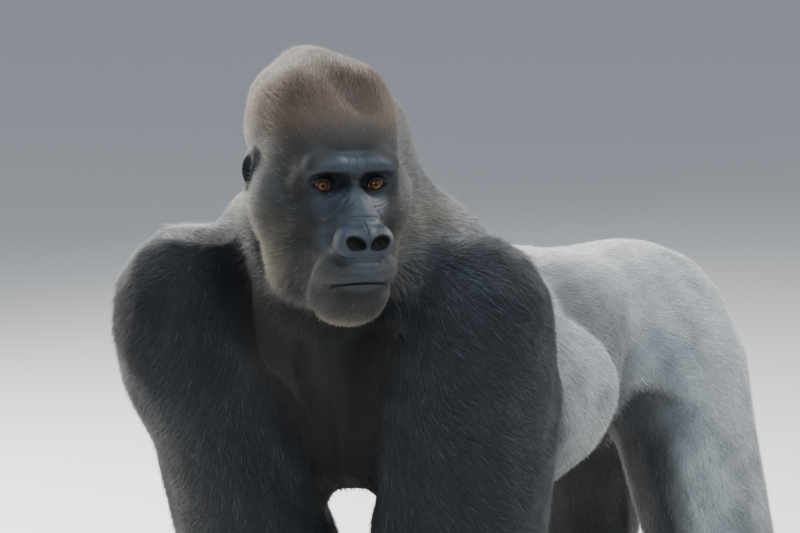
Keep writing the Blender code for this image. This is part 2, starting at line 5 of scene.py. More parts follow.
import bmesh
import bpy
import numpy as np
from bpy.props import FloatProperty, FloatVectorProperty, IntProperty, PointerProperty
from mathutils import Euler, Matrix, Vector
from mathutils.bvhtree import BVHTree


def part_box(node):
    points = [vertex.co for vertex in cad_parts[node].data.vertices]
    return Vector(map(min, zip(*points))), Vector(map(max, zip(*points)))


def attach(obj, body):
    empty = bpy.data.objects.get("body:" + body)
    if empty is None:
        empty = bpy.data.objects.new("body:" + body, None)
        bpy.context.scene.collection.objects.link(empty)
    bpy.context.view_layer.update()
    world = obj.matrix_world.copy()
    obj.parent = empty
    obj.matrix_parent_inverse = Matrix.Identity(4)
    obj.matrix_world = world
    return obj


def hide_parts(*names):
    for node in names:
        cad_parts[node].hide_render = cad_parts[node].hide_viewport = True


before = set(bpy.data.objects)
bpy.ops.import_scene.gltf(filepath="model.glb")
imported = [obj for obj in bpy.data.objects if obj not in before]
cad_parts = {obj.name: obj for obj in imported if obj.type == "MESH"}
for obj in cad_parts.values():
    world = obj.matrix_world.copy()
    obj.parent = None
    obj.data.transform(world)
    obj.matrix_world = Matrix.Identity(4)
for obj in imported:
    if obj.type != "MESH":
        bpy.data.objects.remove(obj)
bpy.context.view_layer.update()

bl_info = {
    "name": "Silverback gorilla",
    "version": (1, 0, 0),
    "blender": (4, 5, 0),
    "location": "View3D > Sidebar > Gorilla",
    "description": "Dresses the solids of a standing gorilla in skin, eyes, nails and coat",
    "category": "Add Mesh",
}

FINE_LEVELS = 4
SIDES = {"left": 1, "right": -1}

# The frames of the body, as in the solids, before they were centred over the floor
EYE_HALF, EYE_DEPTH, EYE_RADIUS = 0.036, 0.0050, 0.0130
CHEST_TURN, HIP_TURN, HEAD_TURN, HEAD_ROLL = 25.0, -15.0, 57.0, 1.5
SHOULDERS = Vector((-0.014, -0.350, 0.86))
HIPS = Vector((-0.030, 0.380, 0.655))
EYES = Vector((0.135, -0.50, 1.04))
WORLD = Matrix.Identity(4)
WRISTS = {"left": Vector((0.135, -0.300, 0.180)), "right": Vector((-0.110, -0.420, 0.180))}
ANKLES = {"left": Vector((0.197, 0.413, 0.100)), "right": Vector((-0.165, 0.500, 0.100))}
HAND_TURNS = {"left": 20.0, "right": 12.0}
FOOT_TURNS = {"left": 4.0, "right": -22.0}

# Hands and feet: where the toes start, and the radii at both ends of each length of a digit
DIGITS, FINGER_PITCH, TOE_PITCH, TOE_LINE = 4, 0.0315, 0.0245, -0.130
FINGER_RADII = ((0.026, 0.0235), (0.0205, 0.0185), (0.0182, 0.0172), (0.0165, 0.0145))
THUMB_RADII = ((0.024, 0.0175), (0.0165, 0.0135))
TOE_RADII = ((0.0175, 0.0158), (0.0155, 0.0148))
GREAT_TOE_RADII = ((0.029, 0.0215), (0.0205, 0.0190))

# Nails: which way they face, how they are divided, how far they reach round, and how far
# their two sides lie off the digit. Eyes: where the iris ends and how the cornea bulges
FINGERNAIL_OUT, TOENAIL_OUT = (0.0, 0.62, -0.78), (0.0, -0.4, 1.0)
GREAT_TOENAIL_OUT = (0.0, -0.2, 1.0)
NAIL_ROWS, NAIL_COLUMNS, NAIL_TURN, NAIL_LIFTS = 8, 9, math.radians(52.0), (0.0009, -0.0012)
IRIS_EDGE, CORNEA_RISE, CORNEA_RADIUS = 0.0072, 0.0011, 0.0078

# Places on the head that both its forms and its colours use, in its own frame, left side
UPPER_LID, LOWER_LID = 0.0086, -0.0086
NOSTRIL, NOSTRIL_RADII, NOSTRIL_TILT = (0.0168, -0.086, -0.0645), (0.0148, 0.016, 0.0098), 24.0
EAR, EAR_BOWL = (0.093, 0.108, 0.007), (0.108, 0.099, 0.008)
EAR_BOWL_RADII = (0.014, 0.014, 0.0195)
LIP, LIP_RADII = (0.0, -0.026, -0.102), (0.059, 0.054, 0.036)
MOUTH_STEPS = (0.0, 0.010, 0.020, 0.030, 0.038, 0.045)
MELT = 0.03

# The naked skin round the eyes, on the cheeks, the nose and the lips: half width, height of
# the middle and half height
NAKED_PATCHES = (
    *((0.060, 0.011, 0.032), (0.050, -0.022, 0.034), (0.045, -0.064, 0.034)),
    (0.031, -0.113, 0.016),
)

# The flank: the middle and half sizes of the belly's round, along the body and above the
# floor. The front of the thigh, darkened for its dark hair and with painted shade under the
# fold from the flank: half its width from the middle line, and its top
BELLY_ROUND = (-0.075, 0.640, 0.210, 0.160)
MIDDLE_LINE, GROIN_HALF, GROIN_TOP = -0.03, 0.240, 0.655

# The coat by part of the body: how deep it is, how long and wide a tuft is, in metres,
# how many degrees it rises and how many tufts grow on a square centimetre
COAT = {
    "head": (0.006, 0.014, 0.0010, 15.0, 43.0),
    "neck": (0.010, 0.026, 0.0014, 13.0, 19.0),
    "chest": (0.008, 0.021, 0.0013, 10.0, 15.0),
    "belly": (0.009, 0.018, 0.0011, 12.0, 14.0),
    "pelvis": (0.006, 0.016, 0.0011, 12.0, 13.5),
    "upper_arm": (0.010, 0.021, 0.0012, 12.0, 16.5),
    "forearm": (0.014, 0.036, 0.0017, 14.0, 11.0),
    "hand": (0.003, 0.014, 0.0013, 12.0, 12.0),
    "thigh": (0.007, 0.018, 0.0011, 12.0, 12.0),
    "shin": (0.010, 0.028, 0.0015, 12.0, 10.5),
    "foot": (0.002, 0.012, 0.0012, 11.0, 11.0),
    "ear": (0.0, 0.010, 0.0012, 20.0, 0.0),
}
KINDS = list(COAT)

# How often values are evened out, from which level the eyes and nose are open, how far
# apart a slope is measured, and how far a vertex moves at once
BLEND_ROUNDS, SINK_ROUNDS, LIE_ROUNDS = 14, 3, 12
OPENING_LEVEL = 2
SLOPE_STEP, FURTHEST_MOVE = 0.0005, 0.006

# Tufts: square centimetres in a square metre, how they swing and bow, how deep they are
# rooted, how far they stay off the floor, and how large each one's patch is on the flattened
# skin. Then how they vary, the shares of strays and of pale hairs (grizzled hairs together
# with painted glints), what counts as dark, and where the coat's pieces part on the body and
# the head
PER_SQUARE_METRE = 1e4
SWING, BOW, ROOT_DEPTH, FLOOR_GAP, BAKE_PATCH = 0.17, 0.12, 0.0015, 0.002, 0.003
LENGTH_RANGE, WIDTH_RANGE, RISE_RANGE = (0.6, 1.2), (0.55, 1.25), (0.4, 1.5)
STRAYS, GRIZZLED_AND_GLINTS, DARK_HAIR = 0.05, 0.12, 0.06
MIDDLE_PLANE, FACE_DEPTH = 0.02, 0.085

# The faces of a straight and of a bowed tuft, and where its corners lie across and along it
STRAIGHT_FACES = ((0, 1, 3), (1, 2, 3), (2, 0, 3))
STRAIGHT_LOCK = ((0.0, 0.0), (1.0, 0.0), (0.5, 0.0), (0.5, 1.0))
BOWED_FACES = (
    *((0, 1, 4), (0, 4, 3), (1, 2, 5), (1, 5, 4), (2, 0, 3), (2, 3, 5)),
    *((3, 4, 6), (4, 5, 6), (5, 3, 6)),
)
BOWED_LOCK = (*STRAIGHT_LOCK[:3], (0.0, 0.5), (1.0, 0.5), (0.5, 0.5), (0.5, 1.0))


def kind_of(node):
    """The kind of body part that a node is, whichever side it is on."""
    return node.removesuffix("_left").removesuffix("_right")


def share_of(weights, *kinds):
    """How much each vertex belongs to the given kinds of body part together."""
    return sum(weights[:, KINDS.index(kind)] for kind in kinds)


# ---------------------------------------------------------------- melted forms


def frame_at(place, turn, pitch=0.0, roll=0.0):
    """A frame with x to the animal's left, y to its back and z up, turned by degrees."""
    turning = Matrix.Rotation(math.radians(turn), 4, "Z")
    turning = turning @ Matrix.Rotation(math.radians(pitch), 4, "X")
    return Matrix.Translation(place) @ turning @ Matrix.Rotation(math.radians(roll), 4, "Y")


def middle_of(node):
    """The middle of a node's box."""
    low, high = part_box(node)
    return (low + high) / 2


def standing_shift():
    """How far the solids were moved to be centred over the floor, told by the eyes."""
    between = (middle_of("eye_left") + middle_of("eye_right")) / 2
    return between - frame_at(EYES, HEAD_TURN, 0.0, HEAD_ROLL) @ Vector((0.0, EYE_DEPTH, 0.0))


SHIFT = standing_shift()
CHEST = frame_at(SHOULDERS + SHIFT, CHEST_TURN)
PELVIS = frame_at(HIPS + SHIFT, HIP_TURN)
HEAD = frame_at(EYES + SHIFT, HEAD_TURN, 0.0, HEAD_ROLL)


def floor_frame(places, turns, name):
    """The frame of a hand or a foot: on the floor under its wrist or ankle."""
    place = places[name] + SHIFT
    return frame_at((place.x, place.y, 0.0), turns[name])


def smooth_min(a, b, width):
    """The lesser of two distances, rounded where they are within width of each other."""
    overlap = np.maximum(width - np.abs(a - b), 0.0) / width
    return np.minimum(a, b) - overlap * overlap * width / 4


def smooth_step(low, high, values):
    """0 up to low, rising smoothly to 1 at high."""
    share = np.clip((values - low) / (high - low), 0.0, 1.0)
    return share * share * (3.0 - 2.0 * share)


def fade(low, high, values):
    """The other way round: 1 up to low, falling to 0 at high."""
    return 1.0 - smooth_step(low, high, values)


def hump(values, middle, width):
    """1 at the middle, falling away smoothly over the width on both sides."""
    return np.exp(-(((values - middle) / width) ** 2))


class Egg:
    """An ellipsoid of flesh."""

    def __init__(self, place, radii, melt, carve):
        self.radii, self.melt, self.carve = np.array(radii), melt, carve
        inverse = np.array(place.inverted())
        self.turn, self.shift = inverse[:3, :3], inverse[:3, 3]
        self.middle, self.reach = np.array(place.translation), max(radii)

    def distance(self, points):
        local = points @ self.turn.T + self.shift
        scaled = np.linalg.norm(local / self.radii, axis=1)
        steep = np.linalg.norm(local / self.radii**2, axis=1)
        return scaled * (scaled - 1.0) / np.maximum(steep, 1e-6)


class Limb:
    """A tapered length with round ends."""

    def __init__(self, start, end, radius_start, radius_end, melt, carve):
        self.melt, self.carve = melt, carve
        self.start, self.along = np.array(start), np.array(end - start)
        self.radii = (radius_start, radius_end)
        self.middle = np.array((start + end) / 2)
        self.reach = (end - start).length / 2 + max(self.radii)

    def distance(self, points):
        share = (points - self.start) @ self.along / (self.along @ self.along)
        share = np.clip(share, 0.0, 1.0)
        nearest = self.start + share[:, None] * self.along
        radius = self.radii[0] + share * (self.radii[1] - self.radii[0])
        return np.linalg.norm(points - nearest, axis=1) - radius


class Flesh:
    """Masses in the order in which they are laid on, each melting into what is there."""

    def __init__(self):
        self.masses = []

    def egg(self, frame_of, centre, radii, turn=(0, 0, 0), melt=MELT, carve=False):
        """An ellipsoid in a frame, turned by degrees, laid on or carved out."""
        tilt = Euler([math.radians(angle) for angle in turn]).to_matrix().to_4x4()
        place = frame_of @ Matrix.Translation(centre) @ tilt
        self.masses.append(Egg(place, radii, melt, carve))

    def eggs(self, frame_of, centre, radii, turn=(0, 0, 0), melt=MELT, carve=False):
        """A pair, mirrored in the frame's middle plane. The numbers are the left one's."""
        for side in SIDES.values():
            place = (centre[0] * side, centre[1], centre[2])
            tilt = (turn[0], turn[1] * side, turn[2] * side)
            self.egg(frame_of, place, radii, tilt, melt, carve)

    def limb(self, frame_of, start, end, radius, radius_end, melt=MELT, carve=False):
        """A tapered length between two points of a frame."""
        ends = [frame_of @ Vector(point) for point in (start, end)]
        self.masses.append(Limb(*ends, radius, radius_end, melt, carve))

    def limbs(self, frame_of, start, end, radius, radius_end, melt=MELT, carve=False):
        """A mirrored pair, as for the eggs."""
        for side in SIDES.values():
            flip = frame_of @ Matrix.Diagonal((side, 1, 1, 1))
            self.limb(flip, start, end, radius, radius_end, melt, carve)

    def cords(self, frame_of, path, radius, melt, carve=False):
        """A mirrored pair of round cords along a path."""
        for start, end in zip(path, path[1:]):
            self.limbs(frame_of, start, end, radius, radius, melt, carve)

    def chain(self, frame_of, places, radii, melts):
        """Limbs end to end: the radii at the ends of each, and how it melts."""
        for start, end, ends, melt in zip(places, places[1:], radii, melts):
            self.limb(frame_of, start, end, *ends, melt)

    def distance(self, points):
        """How far each point is outside the melted surface."""
        result = np.full(len(points), 1.0)
        for mass in self.masses:
            away = np.linalg.norm(points - mass.middle, axis=1)
            near = np.flatnonzero(away < mass.reach + 0.06)
            if not len(near):
                continue
            here = mass.distance(points[near])
            if mass.carve:
                result[near] = -smooth_min(-result[near], here, mass.melt)
            else:
                result[near] = smooth_min(result[near], here, mass.melt)
        return result


def skull_forms(flesh):
    """Skull, crest, brow, muzzle, jaw and cheeks, as in the solids."""
    nape, withers = (0.073, 0.240, 0.01), (0.092, 0.31, -0.13)
    flesh.limb(HEAD, nape, withers, 0.106, 0.137, melt=0.05)
    flesh.limb(CHEST, (0.0, -0.02, 0.09), (0.0, 0.12, 0.05), 0.10, 0.11, melt=0.08)
    flesh.limb(HEAD, (0.0, 0.07, -0.10), (0.0, 0.17, -0.22), 0.07, 0.10, melt=0.05)
    flesh.egg(HEAD, (0.0, 0.115, 0.045), (0.087, 0.115, 0.09))
    flesh.egg(HEAD, (0.0, 0.165, 0.088), (0.066, 0.100, 0.080))
    flesh.eggs(HEAD, (0.043, 0.115, 0.07), (0.057, 0.096, 0.079))
    flesh.egg(HEAD, (0.0, 0.055, 0.048), (0.070, 0.06, 0.045))
    flesh.eggs(HEAD, (0.072, 0.070, -0.030), (0.044, 0.055, 0.062))
    flesh.eggs(HEAD, (0.052, 0.070, -0.085), (0.038, 0.058, 0.062))
    flesh.egg(HEAD, (0.0, 0.055, -0.118), (0.060, 0.070, 0.050), melt=0.04)
    flesh.limb(HEAD, (0.0, 0.012, -0.040), (0.0, -0.010, -0.105), 0.040, 0.050)
    flesh.limbs(HEAD, (0.016, -0.012, -0.145), (0.048, 0.06, -0.112), 0.034, 0.036)
    flesh.limbs(HEAD, (0.030, 0.004, -0.036), (0.060, 0.024, -0.034), 0.020, 0.022)


def face_forms(flesh):
    """Brow, socket rims, bridge, nose, lips and chin."""
    inner, outer = (0.026, -0.020, 0.0280), (0.048, -0.012, 0.0270)
    corner, across = (0.058, 0.014, -0.002), (-inner[0], inner[1], inner[2])
    flesh.eggs(HEAD, (0.053, 0.032, 0.014), (0.019, 0.035, 0.029), melt=0.03)
    flesh.limb(HEAD, across, inner, 0.0110, 0.0110, melt=0.014)
    flesh.limbs(HEAD, inner, outer, 0.0110, 0.0100, melt=0.013)
    flesh.limbs(HEAD, outer, corner, 0.0090, 0.008, melt=0.030)
    flesh.limb(HEAD, (0.0, 0.005, 0.012), (0.0, -0.036, -0.042), 0.019, 0.028, melt=0.022)
    flesh.egg(HEAD, LIP, LIP_RADII, melt=0.016)
    flesh.egg(HEAD, (0.0, -0.024, -0.136), (0.043, 0.042, 0.021), melt=0.008)
    flesh.egg(HEAD, (0.0, -0.012, -0.152), (0.042, 0.040, 0.030), melt=0.02)
    socket, socket_radii = (0.035, -0.020, 0.004), (0.025, 0.020, 0.0145)
    flesh.eggs(HEAD, socket, socket_radii, melt=0.013, carve=True)
    flesh.eggs(HEAD, (0.0215, -0.060, -0.067), (0.0195, 0.024, 0.0235), melt=0.010)
    flesh.egg(HEAD, (0.0, -0.066, -0.064), (0.022, 0.0190, 0.0225), melt=0.008)


def on_eyeball(across, up, radius):
    """A point over the left eyeball, from how far it is beside and above its middle."""
    ahead = math.sqrt(max(radius**2 - across**2 - up**2, 1e-6))
    return (EYE_HALF + across, EYE_DEPTH - ahead, up)


def mouth_height(across):
    """How high the line of the mouth lies beside the middle of the face."""
    return -0.1165 - 4.0 * across**2


def on_lip(across):
    """A point of the mouth's line, on the upper lip."""
    up = mouth_height(across)
    rest = 1.0 - (across / LIP_RADII[0]) ** 2 - ((up - LIP[2]) / LIP_RADII[2]) ** 2
    return (across, LIP[1] - LIP_RADII[1] * math.sqrt(max(rest, 0.02)) - 0.0005, up)


def lid_path(rise, radius, steps=8):
    """The edge of a lid from the inner to the outer corner of the left eye."""
    path = []
    for step in range(steps + 1):
        share = 2.0 * step / steps - 1.0
        bow = 1.0 - abs(share) ** 2.2
        path.append(on_eyeball(0.0144 * share, rise * bow + 0.0016 * share, radius))
    return path


def lid_forms(flesh):
    """Closed lids round the eyeballs."""
    flesh.eggs(HEAD, (EYE_HALF, EYE_DEPTH, 0.0), (0.0165, 0.0162, 0.0160), melt=0.006)


def opening_forms(flesh):
    """The slits of the lids with their edges, the nostrils and the mouth."""
    eye = (EYE_HALF, EYE_DEPTH, 0.0)
    ahead = (EYE_HALF, EYE_DEPTH - 0.012, 0.0)
    flesh.eggs(HEAD, ahead, (0.0150, 0.013, UPPER_LID), (0, -7, 0), 0.001, True)
    flesh.eggs(HEAD, eye, (0.0118, 0.0118, 0.0118), melt=0.001)
    flesh.cords(HEAD, lid_path(UPPER_LID, 0.0152), 0.0022, 0.0018)
    flesh.cords(HEAD, lid_path(LOWER_LID, 0.0150), 0.0016, 0.0018)
    flesh.eggs(HEAD, NOSTRIL, NOSTRIL_RADII, (0, -NOSTRIL_TILT, 0), 0.003, True)
    flesh.cords(HEAD, [on_lip(across) for across in MOUTH_STEPS], 0.0016, 0.002, True)


def nose_and_crown_forms(flesh):
    """The crease round the nose and the furrow of the crown."""
    rim = [(0.018, -0.0775, -0.0890), (0.032, -0.070, -0.0870), (0.042, -0.057, -0.0760)]
    flesh.cords(HEAD, rim, 0.0026, 0.008, True)
    cheek = [(0.049, -0.044, -0.062), (0.064, -0.016, -0.0955), (0.067, 0.004, -0.138)]
    flesh.cords(HEAD, cheek, 0.0095, 0.014, True)
    flesh.limb(HEAD, (0.030, 0.018, 0.105), (-0.006, 0.075, 0.166), 0.007, 0.007, 0.025, True)


def ear_forms(flesh):
    """Small rounded ears with a rolled rim and a deep bowl."""
    flesh.eggs(HEAD, EAR, (0.014, 0.020, 0.026), (0, 0, -18), melt=0.008)
    flesh.eggs(HEAD, EAR_BOWL, EAR_BOWL_RADII, (0, 0, -18), 0.003, True)


def finger_joints(name, finger):
    """Where a finger is jointed, from its root to its tip, in the frame of its hand."""
    spread = finger - (DIGITS - 1) / 2
    reach = 1.0 - 0.08 * abs(spread)
    x = SIDES[name] * spread * FINGER_PITCH
    root, knuckle = (x * 0.75, 0.012, 0.165), (x, -0.010, 0.098)
    joint = (x * 1.05, -0.010 - 0.042 * reach, 0.0175)
    bend = (x * 1.02, 0.010 - 0.012 * reach, 0.0168)
    return root, knuckle, joint, bend, (x * 0.98, 0.032 - 0.012 * reach, 0.036)


def thumb_joints(name):
    """The same for the thumb."""
    side = SIDES[name]
    base, middle = (-side * 0.042, 0.030, 0.150), (-side * 0.068, 0.034, 0.108)
    return base, middle, (-side * 0.074, 0.022, 0.072)


def toe_joints(name, toe):
    """The same for a toe, in the frame of its foot."""
    spread = toe - (DIGITS - 1) / 2
    x = SIDES[name] * (0.006 + spread * TOE_PITCH)
    reach = 0.058 - 0.007 * abs(spread + 0.3) ** 1.5
    start, bend = (x, TOE_LINE, 0.026), (x * 1.1, TOE_LINE - reach * 0.6, 0.0265)
    return start, bend, (x * 1.15, TOE_LINE - reach, 0.0145)


def great_toe_joints(name):
    """The same for the great toe."""
    side = SIDES[name]
    root, bend = (-side * 0.028, -0.038, 0.033), (-side * 0.074, -0.090, 0.0245)
    return root, bend, (-side * 0.088, -0.128, 0.0185)


def hand_ends(name):
    """Where each finger's last length lies, its radius, and the way its nail faces."""
    placed = floor_frame(WRISTS, HAND_TURNS, name)
    fingers = [(finger_joints(name, finger), FINGER_RADII) for finger in range(DIGITS)]
    ends = [(placed, *joints[-2:], radii[-1][1], FINGERNAIL_OUT) for joints, radii in fingers]
    ends.append((placed, *thumb_joints(name)[-2:], THUMB_RADII[-1][1], (-SIDES[name], -0.3, 0.0)))
    return ends


def foot_ends(name):
    """The same for the toes."""
    placed = floor_frame(ANKLES, FOOT_TURNS, name)
    toes = [toe_joints(name, toe) for toe in range(DIGITS)]
    ends = [(placed, *joints[-2:], TOE_RADII[-1][1], TOENAIL_OUT) for joints in toes]
    joints = great_toe_joints(name)
    ends.append((placed, *joints[-2:], GREAT_TOE_RADII[-1][1], GREAT_TOENAIL_OUT))
    return ends


def placed_end(end):
    """The start, the end and the nail's direction of a digit's last length, in the world."""
    placed, start, tip, radius, out = end
    start, tip = placed @ Vector(start), placed @ Vector(tip)
    ahead = (tip - start).normalized()
    out = placed.to_3x3() @ Vector(out)
    return tip, ahead, (out - out.dot(ahead) * ahead).normalized(), radius


def hand_forms(flesh, name):
    """A hand on its knuckles: palm upright, fingers folded back under it."""
    placed = floor_frame(WRISTS, HAND_TURNS, name)
    wrist = WRISTS[name] + SHIFT
    flesh.limb(WORLD, wrist + Vector((0, 0.015, 0.10)), wrist, 0.080, 0.060)
    flesh.egg(placed, (0.0, 0.012, 0.140), (0.056, 0.038, 0.055), melt=0.02)
    for finger in range(DIGITS):
        joints = finger_joints(name, finger)
        flesh.chain(placed, joints, FINGER_RADII, (0.012, 0.006, 0.004, 0.003))
    flesh.chain(placed, thumb_joints(name), THUMB_RADII, (0.02, 0.005))


def foot_forms(flesh, name):
    """A foot flat on the ground, with its great toe standing off like a thumb."""
    side = SIDES[name]
    placed = floor_frame(ANKLES, FOOT_TURNS, name)
    ankle = ANKLES[name] + SHIFT
    flesh.limb(WORLD, ankle + Vector((0, 0, 0.09)), ankle, 0.066, 0.058)
    flesh.egg(placed, (0.0, 0.038, 0.038), (0.041, 0.052, 0.043))
    flesh.limb(placed, (0.0, 0.005, 0.064), (0.0, -0.10, 0.036), 0.046, 0.033)
    flesh.egg(placed, (side * 0.004, -0.08, 0.029), (0.052, 0.080, 0.032), melt=0.02)
    for toe in range(DIGITS):
        flesh.chain(placed, toe_joints(name, toe), TOE_RADII, (0.008, 0.003))
    flesh.chain(placed, great_toe_joints(name), GREAT_TOE_RADII, (0.02, 0.005))


# ---------------------------------------------------------------- mesh helpers


def set_coordinates(mesh, points):
    """Moves the vertices."""
    mesh.vertices.foreach_set("co", points.astype(np.float32).ravel())
    mesh.update()


def vertex_normals(mesh):
    """Which way the surface faces at each vertex."""
    normals = np.empty(len(mesh.vertices) * 3, np.float32)
    mesh.vertex_normals.foreach_get("vector", normals)
    return normals.reshape(-1, 3).astype(float)


def coordinates(mesh):
    """Where the vertices lie."""
    points = np.empty(len(mesh.vertices) * 3, np.float32)
    mesh.vertices.foreach_get("co", points)
    return points.reshape(-1, 3).astype(float)


def neighbour_table(mesh):
    """For each vertex the indices of its neighbours, filled up with its own index."""
    edges = np.empty(len(mesh.edges) * 2, np.int32)
    mesh.edges.foreach_get("vertices", edges)
    edges = edges.reshape(-1, 2)
    ends = np.concatenate([edges, edges[:, ::-1]])
    ends = ends[np.argsort(ends[:, 0], kind="stable")]
    first, other = ends.T
    count = len(mesh.vertices)
    rank = np.arange(len(first)) - np.searchsorted(first, np.arange(count))[first]
    table = np.repeat(np.arange(count)[:, None], rank.max() + 1, axis=1)
    table[first, rank] = other
    return table


def spread_out(values, table, rounds):
    """Evens values out over the surface."""
    for _ in range(rounds):
        values = values[table].mean(1)
    return values


def store(mesh, name, kind, values):
    """Keeps a value, a vector or a colour for each vertex."""
    field = {"FLOAT": "value", "FLOAT_VECTOR": "vector", "FLOAT_COLOR": "color"}[kind]
    if kind == "FLOAT_COLOR":
        values = np.concatenate([values, np.ones((len(values), 1))], axis=1)
    layer = mesh.attributes.get(name) or mesh.attributes.new(name, kind, "POINT")
    layer.data.foreach_set(field, np.ascontiguousarray(values, np.float32).ravel())


def read(mesh, name):
    """What was stored for each vertex under a name."""
    layer = mesh.attributes[name]
    field, width = {
        "FLOAT": ("value", 1),
        "FLOAT_VECTOR": ("vector", 3),
        "FLOAT_COLOR": ("color", 4),
    }[layer.data_type]
    values = np.empty(len(layer.data) * width, np.float32)
    layer.data.foreach_get(field, values)
    return values.astype(float) if width == 1 else values.reshape(-1, width).astype(float)


def add_object(name, mesh):
    """Puts a mesh in the scene."""
    made = bpy.data.objects.new(name, mesh)
    bpy.context.scene.collection.objects.link(made)
    return made


def in_frame(frame_of, points):
    """Places in the world told in a frame."""
    inverse = np.array(frame_of.inverted())
    return points @ inverse[:3, :3].T + inverse[:3, 3]


def turned(frame_of, vector):
    """A direction in a frame told in the world."""
    return np.array(frame_of.to_3x3() @ Vector(vector))


def mirrored(local):
    """The coordinates of places in a frame, folded over onto its left side."""
    return np.abs(local[:, 0]), local[:, 1], local[:, 2]


def unit(vectors):
    """Vectors brought to a length of 1."""
    return vectors / np.maximum(np.linalg.norm(vectors, axis=1, keepdims=True), 1e-9)


# ---------------------------------------------------------------- the skin


def flesh_nodes():
    """The solids that the skin stands in for: all but the eyes."""
    return sorted(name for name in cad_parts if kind_of(name) != "eye")


def joined_solids():
    """The solids in one mesh, and the kind of body part that each face is of."""
    points, faces, kinds = [], [], []
    for name in sorted(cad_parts):
        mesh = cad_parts[name].data
        kind = kind_of(name).replace("eye", "head")
        faces += [[index + len(points) for index in face.vertices] for face in mesh.polygons]
        kinds += [KINDS.index(kind)] * len(mesh.polygons)
        points += [vertex.co.copy() for vertex in mesh.vertices]
    return points, faces, np.array(kinds)


def one_body(settings, points, faces):
    """One closed mesh of even quads round all the solids."""
    blank = bpy.data.meshes.new("solids")
    blank.from_pydata(points, [], faces)
    holder = add_object("solids", blank)
    remesh = holder.modifiers.new("one skin", "REMESH")
    remesh.mode = "VOXEL"
    remesh.voxel_size = settings.spacing
    bpy.context.view_layer.update()
    graph = bpy.context.evaluated_depsgraph_get()
    mesh = bpy.data.meshes.new_from_object(holder.evaluated_get(graph))
    bpy.data.objects.remove(holder)
    return mesh


def part_weights(mesh, points, faces, kinds):
    """How much each vertex belongs to each kind of body part, blended over the cuts."""
    tree = BVHTree.FromPolygons(points, faces)
    nearest = [tree.find_nearest(vertex.co)[2] for vertex in mesh.vertices]
    weights = np.eye(len(KINDS))[kinds[np.array(nearest)]]
    soft = spread_out(weights, neighbour_table(mesh), BLEND_ROUNDS)
    soft[:, KINDS.index("ear")] = 0.0
    return soft / soft.sum(1, keepdims=True)


def face_bareness(local):
    """1 on the naked skin of the face, falling to 0 in the hair round it."""
    x, y, z = mirrored(local)
    *skin, lips = (np.hypot(x / wide, (z - up) / high) for wide, up, high in NAKED_PATCHES)
    bare = np.maximum(fade(0.86, 1.16, np.min(skin, axis=0)), fade(0.55, 1.35, lips))
    return bare * fade(0.030, 0.055, y)


def ear_bareness(local):
    """1 on the ears, which are naked too."""
    x, y, z = mirrored(local)
    across, along, up = (x - 0.101) / 0.020, (y - 0.106) / 0.025, (z - EAR[2]) / 0.030
    return fade(0.85, 1.15, np.sqrt(across**2 + along**2 + up**2))


def bareness(points, normals, weights):
    """Where no hair grows: face, ears, palms, fingers, soles and toes."""
    head, z = in_frame(HEAD, points), points[:, 2]
    on_head = share_of(weights, "head") > 0.3
    bare = np.where(on_head, np.maximum(face_bareness(head), ear_bareness(head)), 0.0)
    for name in SIDES:
        local = in_frame(floor_frame(WRISTS, HAND_TURNS, name), points)
        near = (np.abs(local[:, :2]).max(1) < 0.14) & (z < 0.2)
        palm = smooth_step(0.2, 0.7, normals[:, 1]) * fade(0.13, 0.16, z)
        fingers = fade(0.070, 0.105, z)
        bare = np.where(near, np.maximum(bare, np.maximum(palm, fingers)), bare)
        local = in_frame(floor_frame(ANKLES, FOOT_TURNS, name), points)
        near = (np.abs(local[:, 0]) < 0.12) & (np.abs(local[:, 1] + 0.06) < 0.18) & (z < 0.13)
        toes, sole = fade(-0.135, -0.105, local[:, 1]), fade(0.018, 0.040, z)
        bare = np.where(near, np.maximum(bare, np.maximum(toes, sole)), bare)
    return bare


def part_columns(mesh):
    """How much each vertex belongs to each kind of body part, as it is kept with the skin."""
    return np.stack([read(mesh, f"part {kind}") for kind in KINDS], axis=1)


def breast_share(points, weights):
    """1 on the thinly haired front of the chest, between the arms."""
    x, y, z = mirrored(in_frame(CHEST, points))
    share = share_of(weights, "chest") + 0.9 * share_of(weights, "neck")
    return share * fade(-0.02, 0.06, y) * fade(0.02, 0.10, z) * fade(0.13, 0.17, x)


def armpit_share(points, weights):
    """1 in the folds where the front of the chest meets the arms."""
    _, y, z = mirrored(in_frame(CHEST, points))
    trunk, arm = share_of(weights, "chest", "neck"), share_of(weights, "upper_arm", "forearm")
    return 4.0 * trunk * arm * (fade(0.02, 0.10, y) * fade(0.05, 0.12, z))


def flank_hollow(points, weights):
    """1 in the hollow of the flank just behind the round of the belly, on both sides."""
    y, z = points[:, 1] - SHIFT.y, points[:, 2]
    middle, height, half_length, half_height = BELLY_ROUND
    away = np.hypot((y - middle) / half_length, (z - height) / half_height)
    behind = smooth_step(0.97, 1.09, away) * fade(1.20, 1.90, away)
    share = share_of(weights, "belly", "pelvis")
    return behind * share * smooth_step(-0.02, 0.05, y) * fade(0.80, 0.90, z)


def groin_share(points, normals, weights):
    """1 on the front of the thigh, under the fold of skin that runs to it from the flank."""
    beside, z = np.abs(points[:, 0] - SHIFT.x - MIDDLE_LINE), points[:, 2]
    under = smooth_step(0.0, 0.025, GROIN_TOP - 0.4 * np.maximum(beside - 0.15, 0.0) - z)
    share = under * fade(GROIN_HALF - 0.120, GROIN_HALF, beside)
    return share * smooth_step(0.15, 0.55, -normals[:, 1]) * share_of(weights, "thigh", "pelvis")


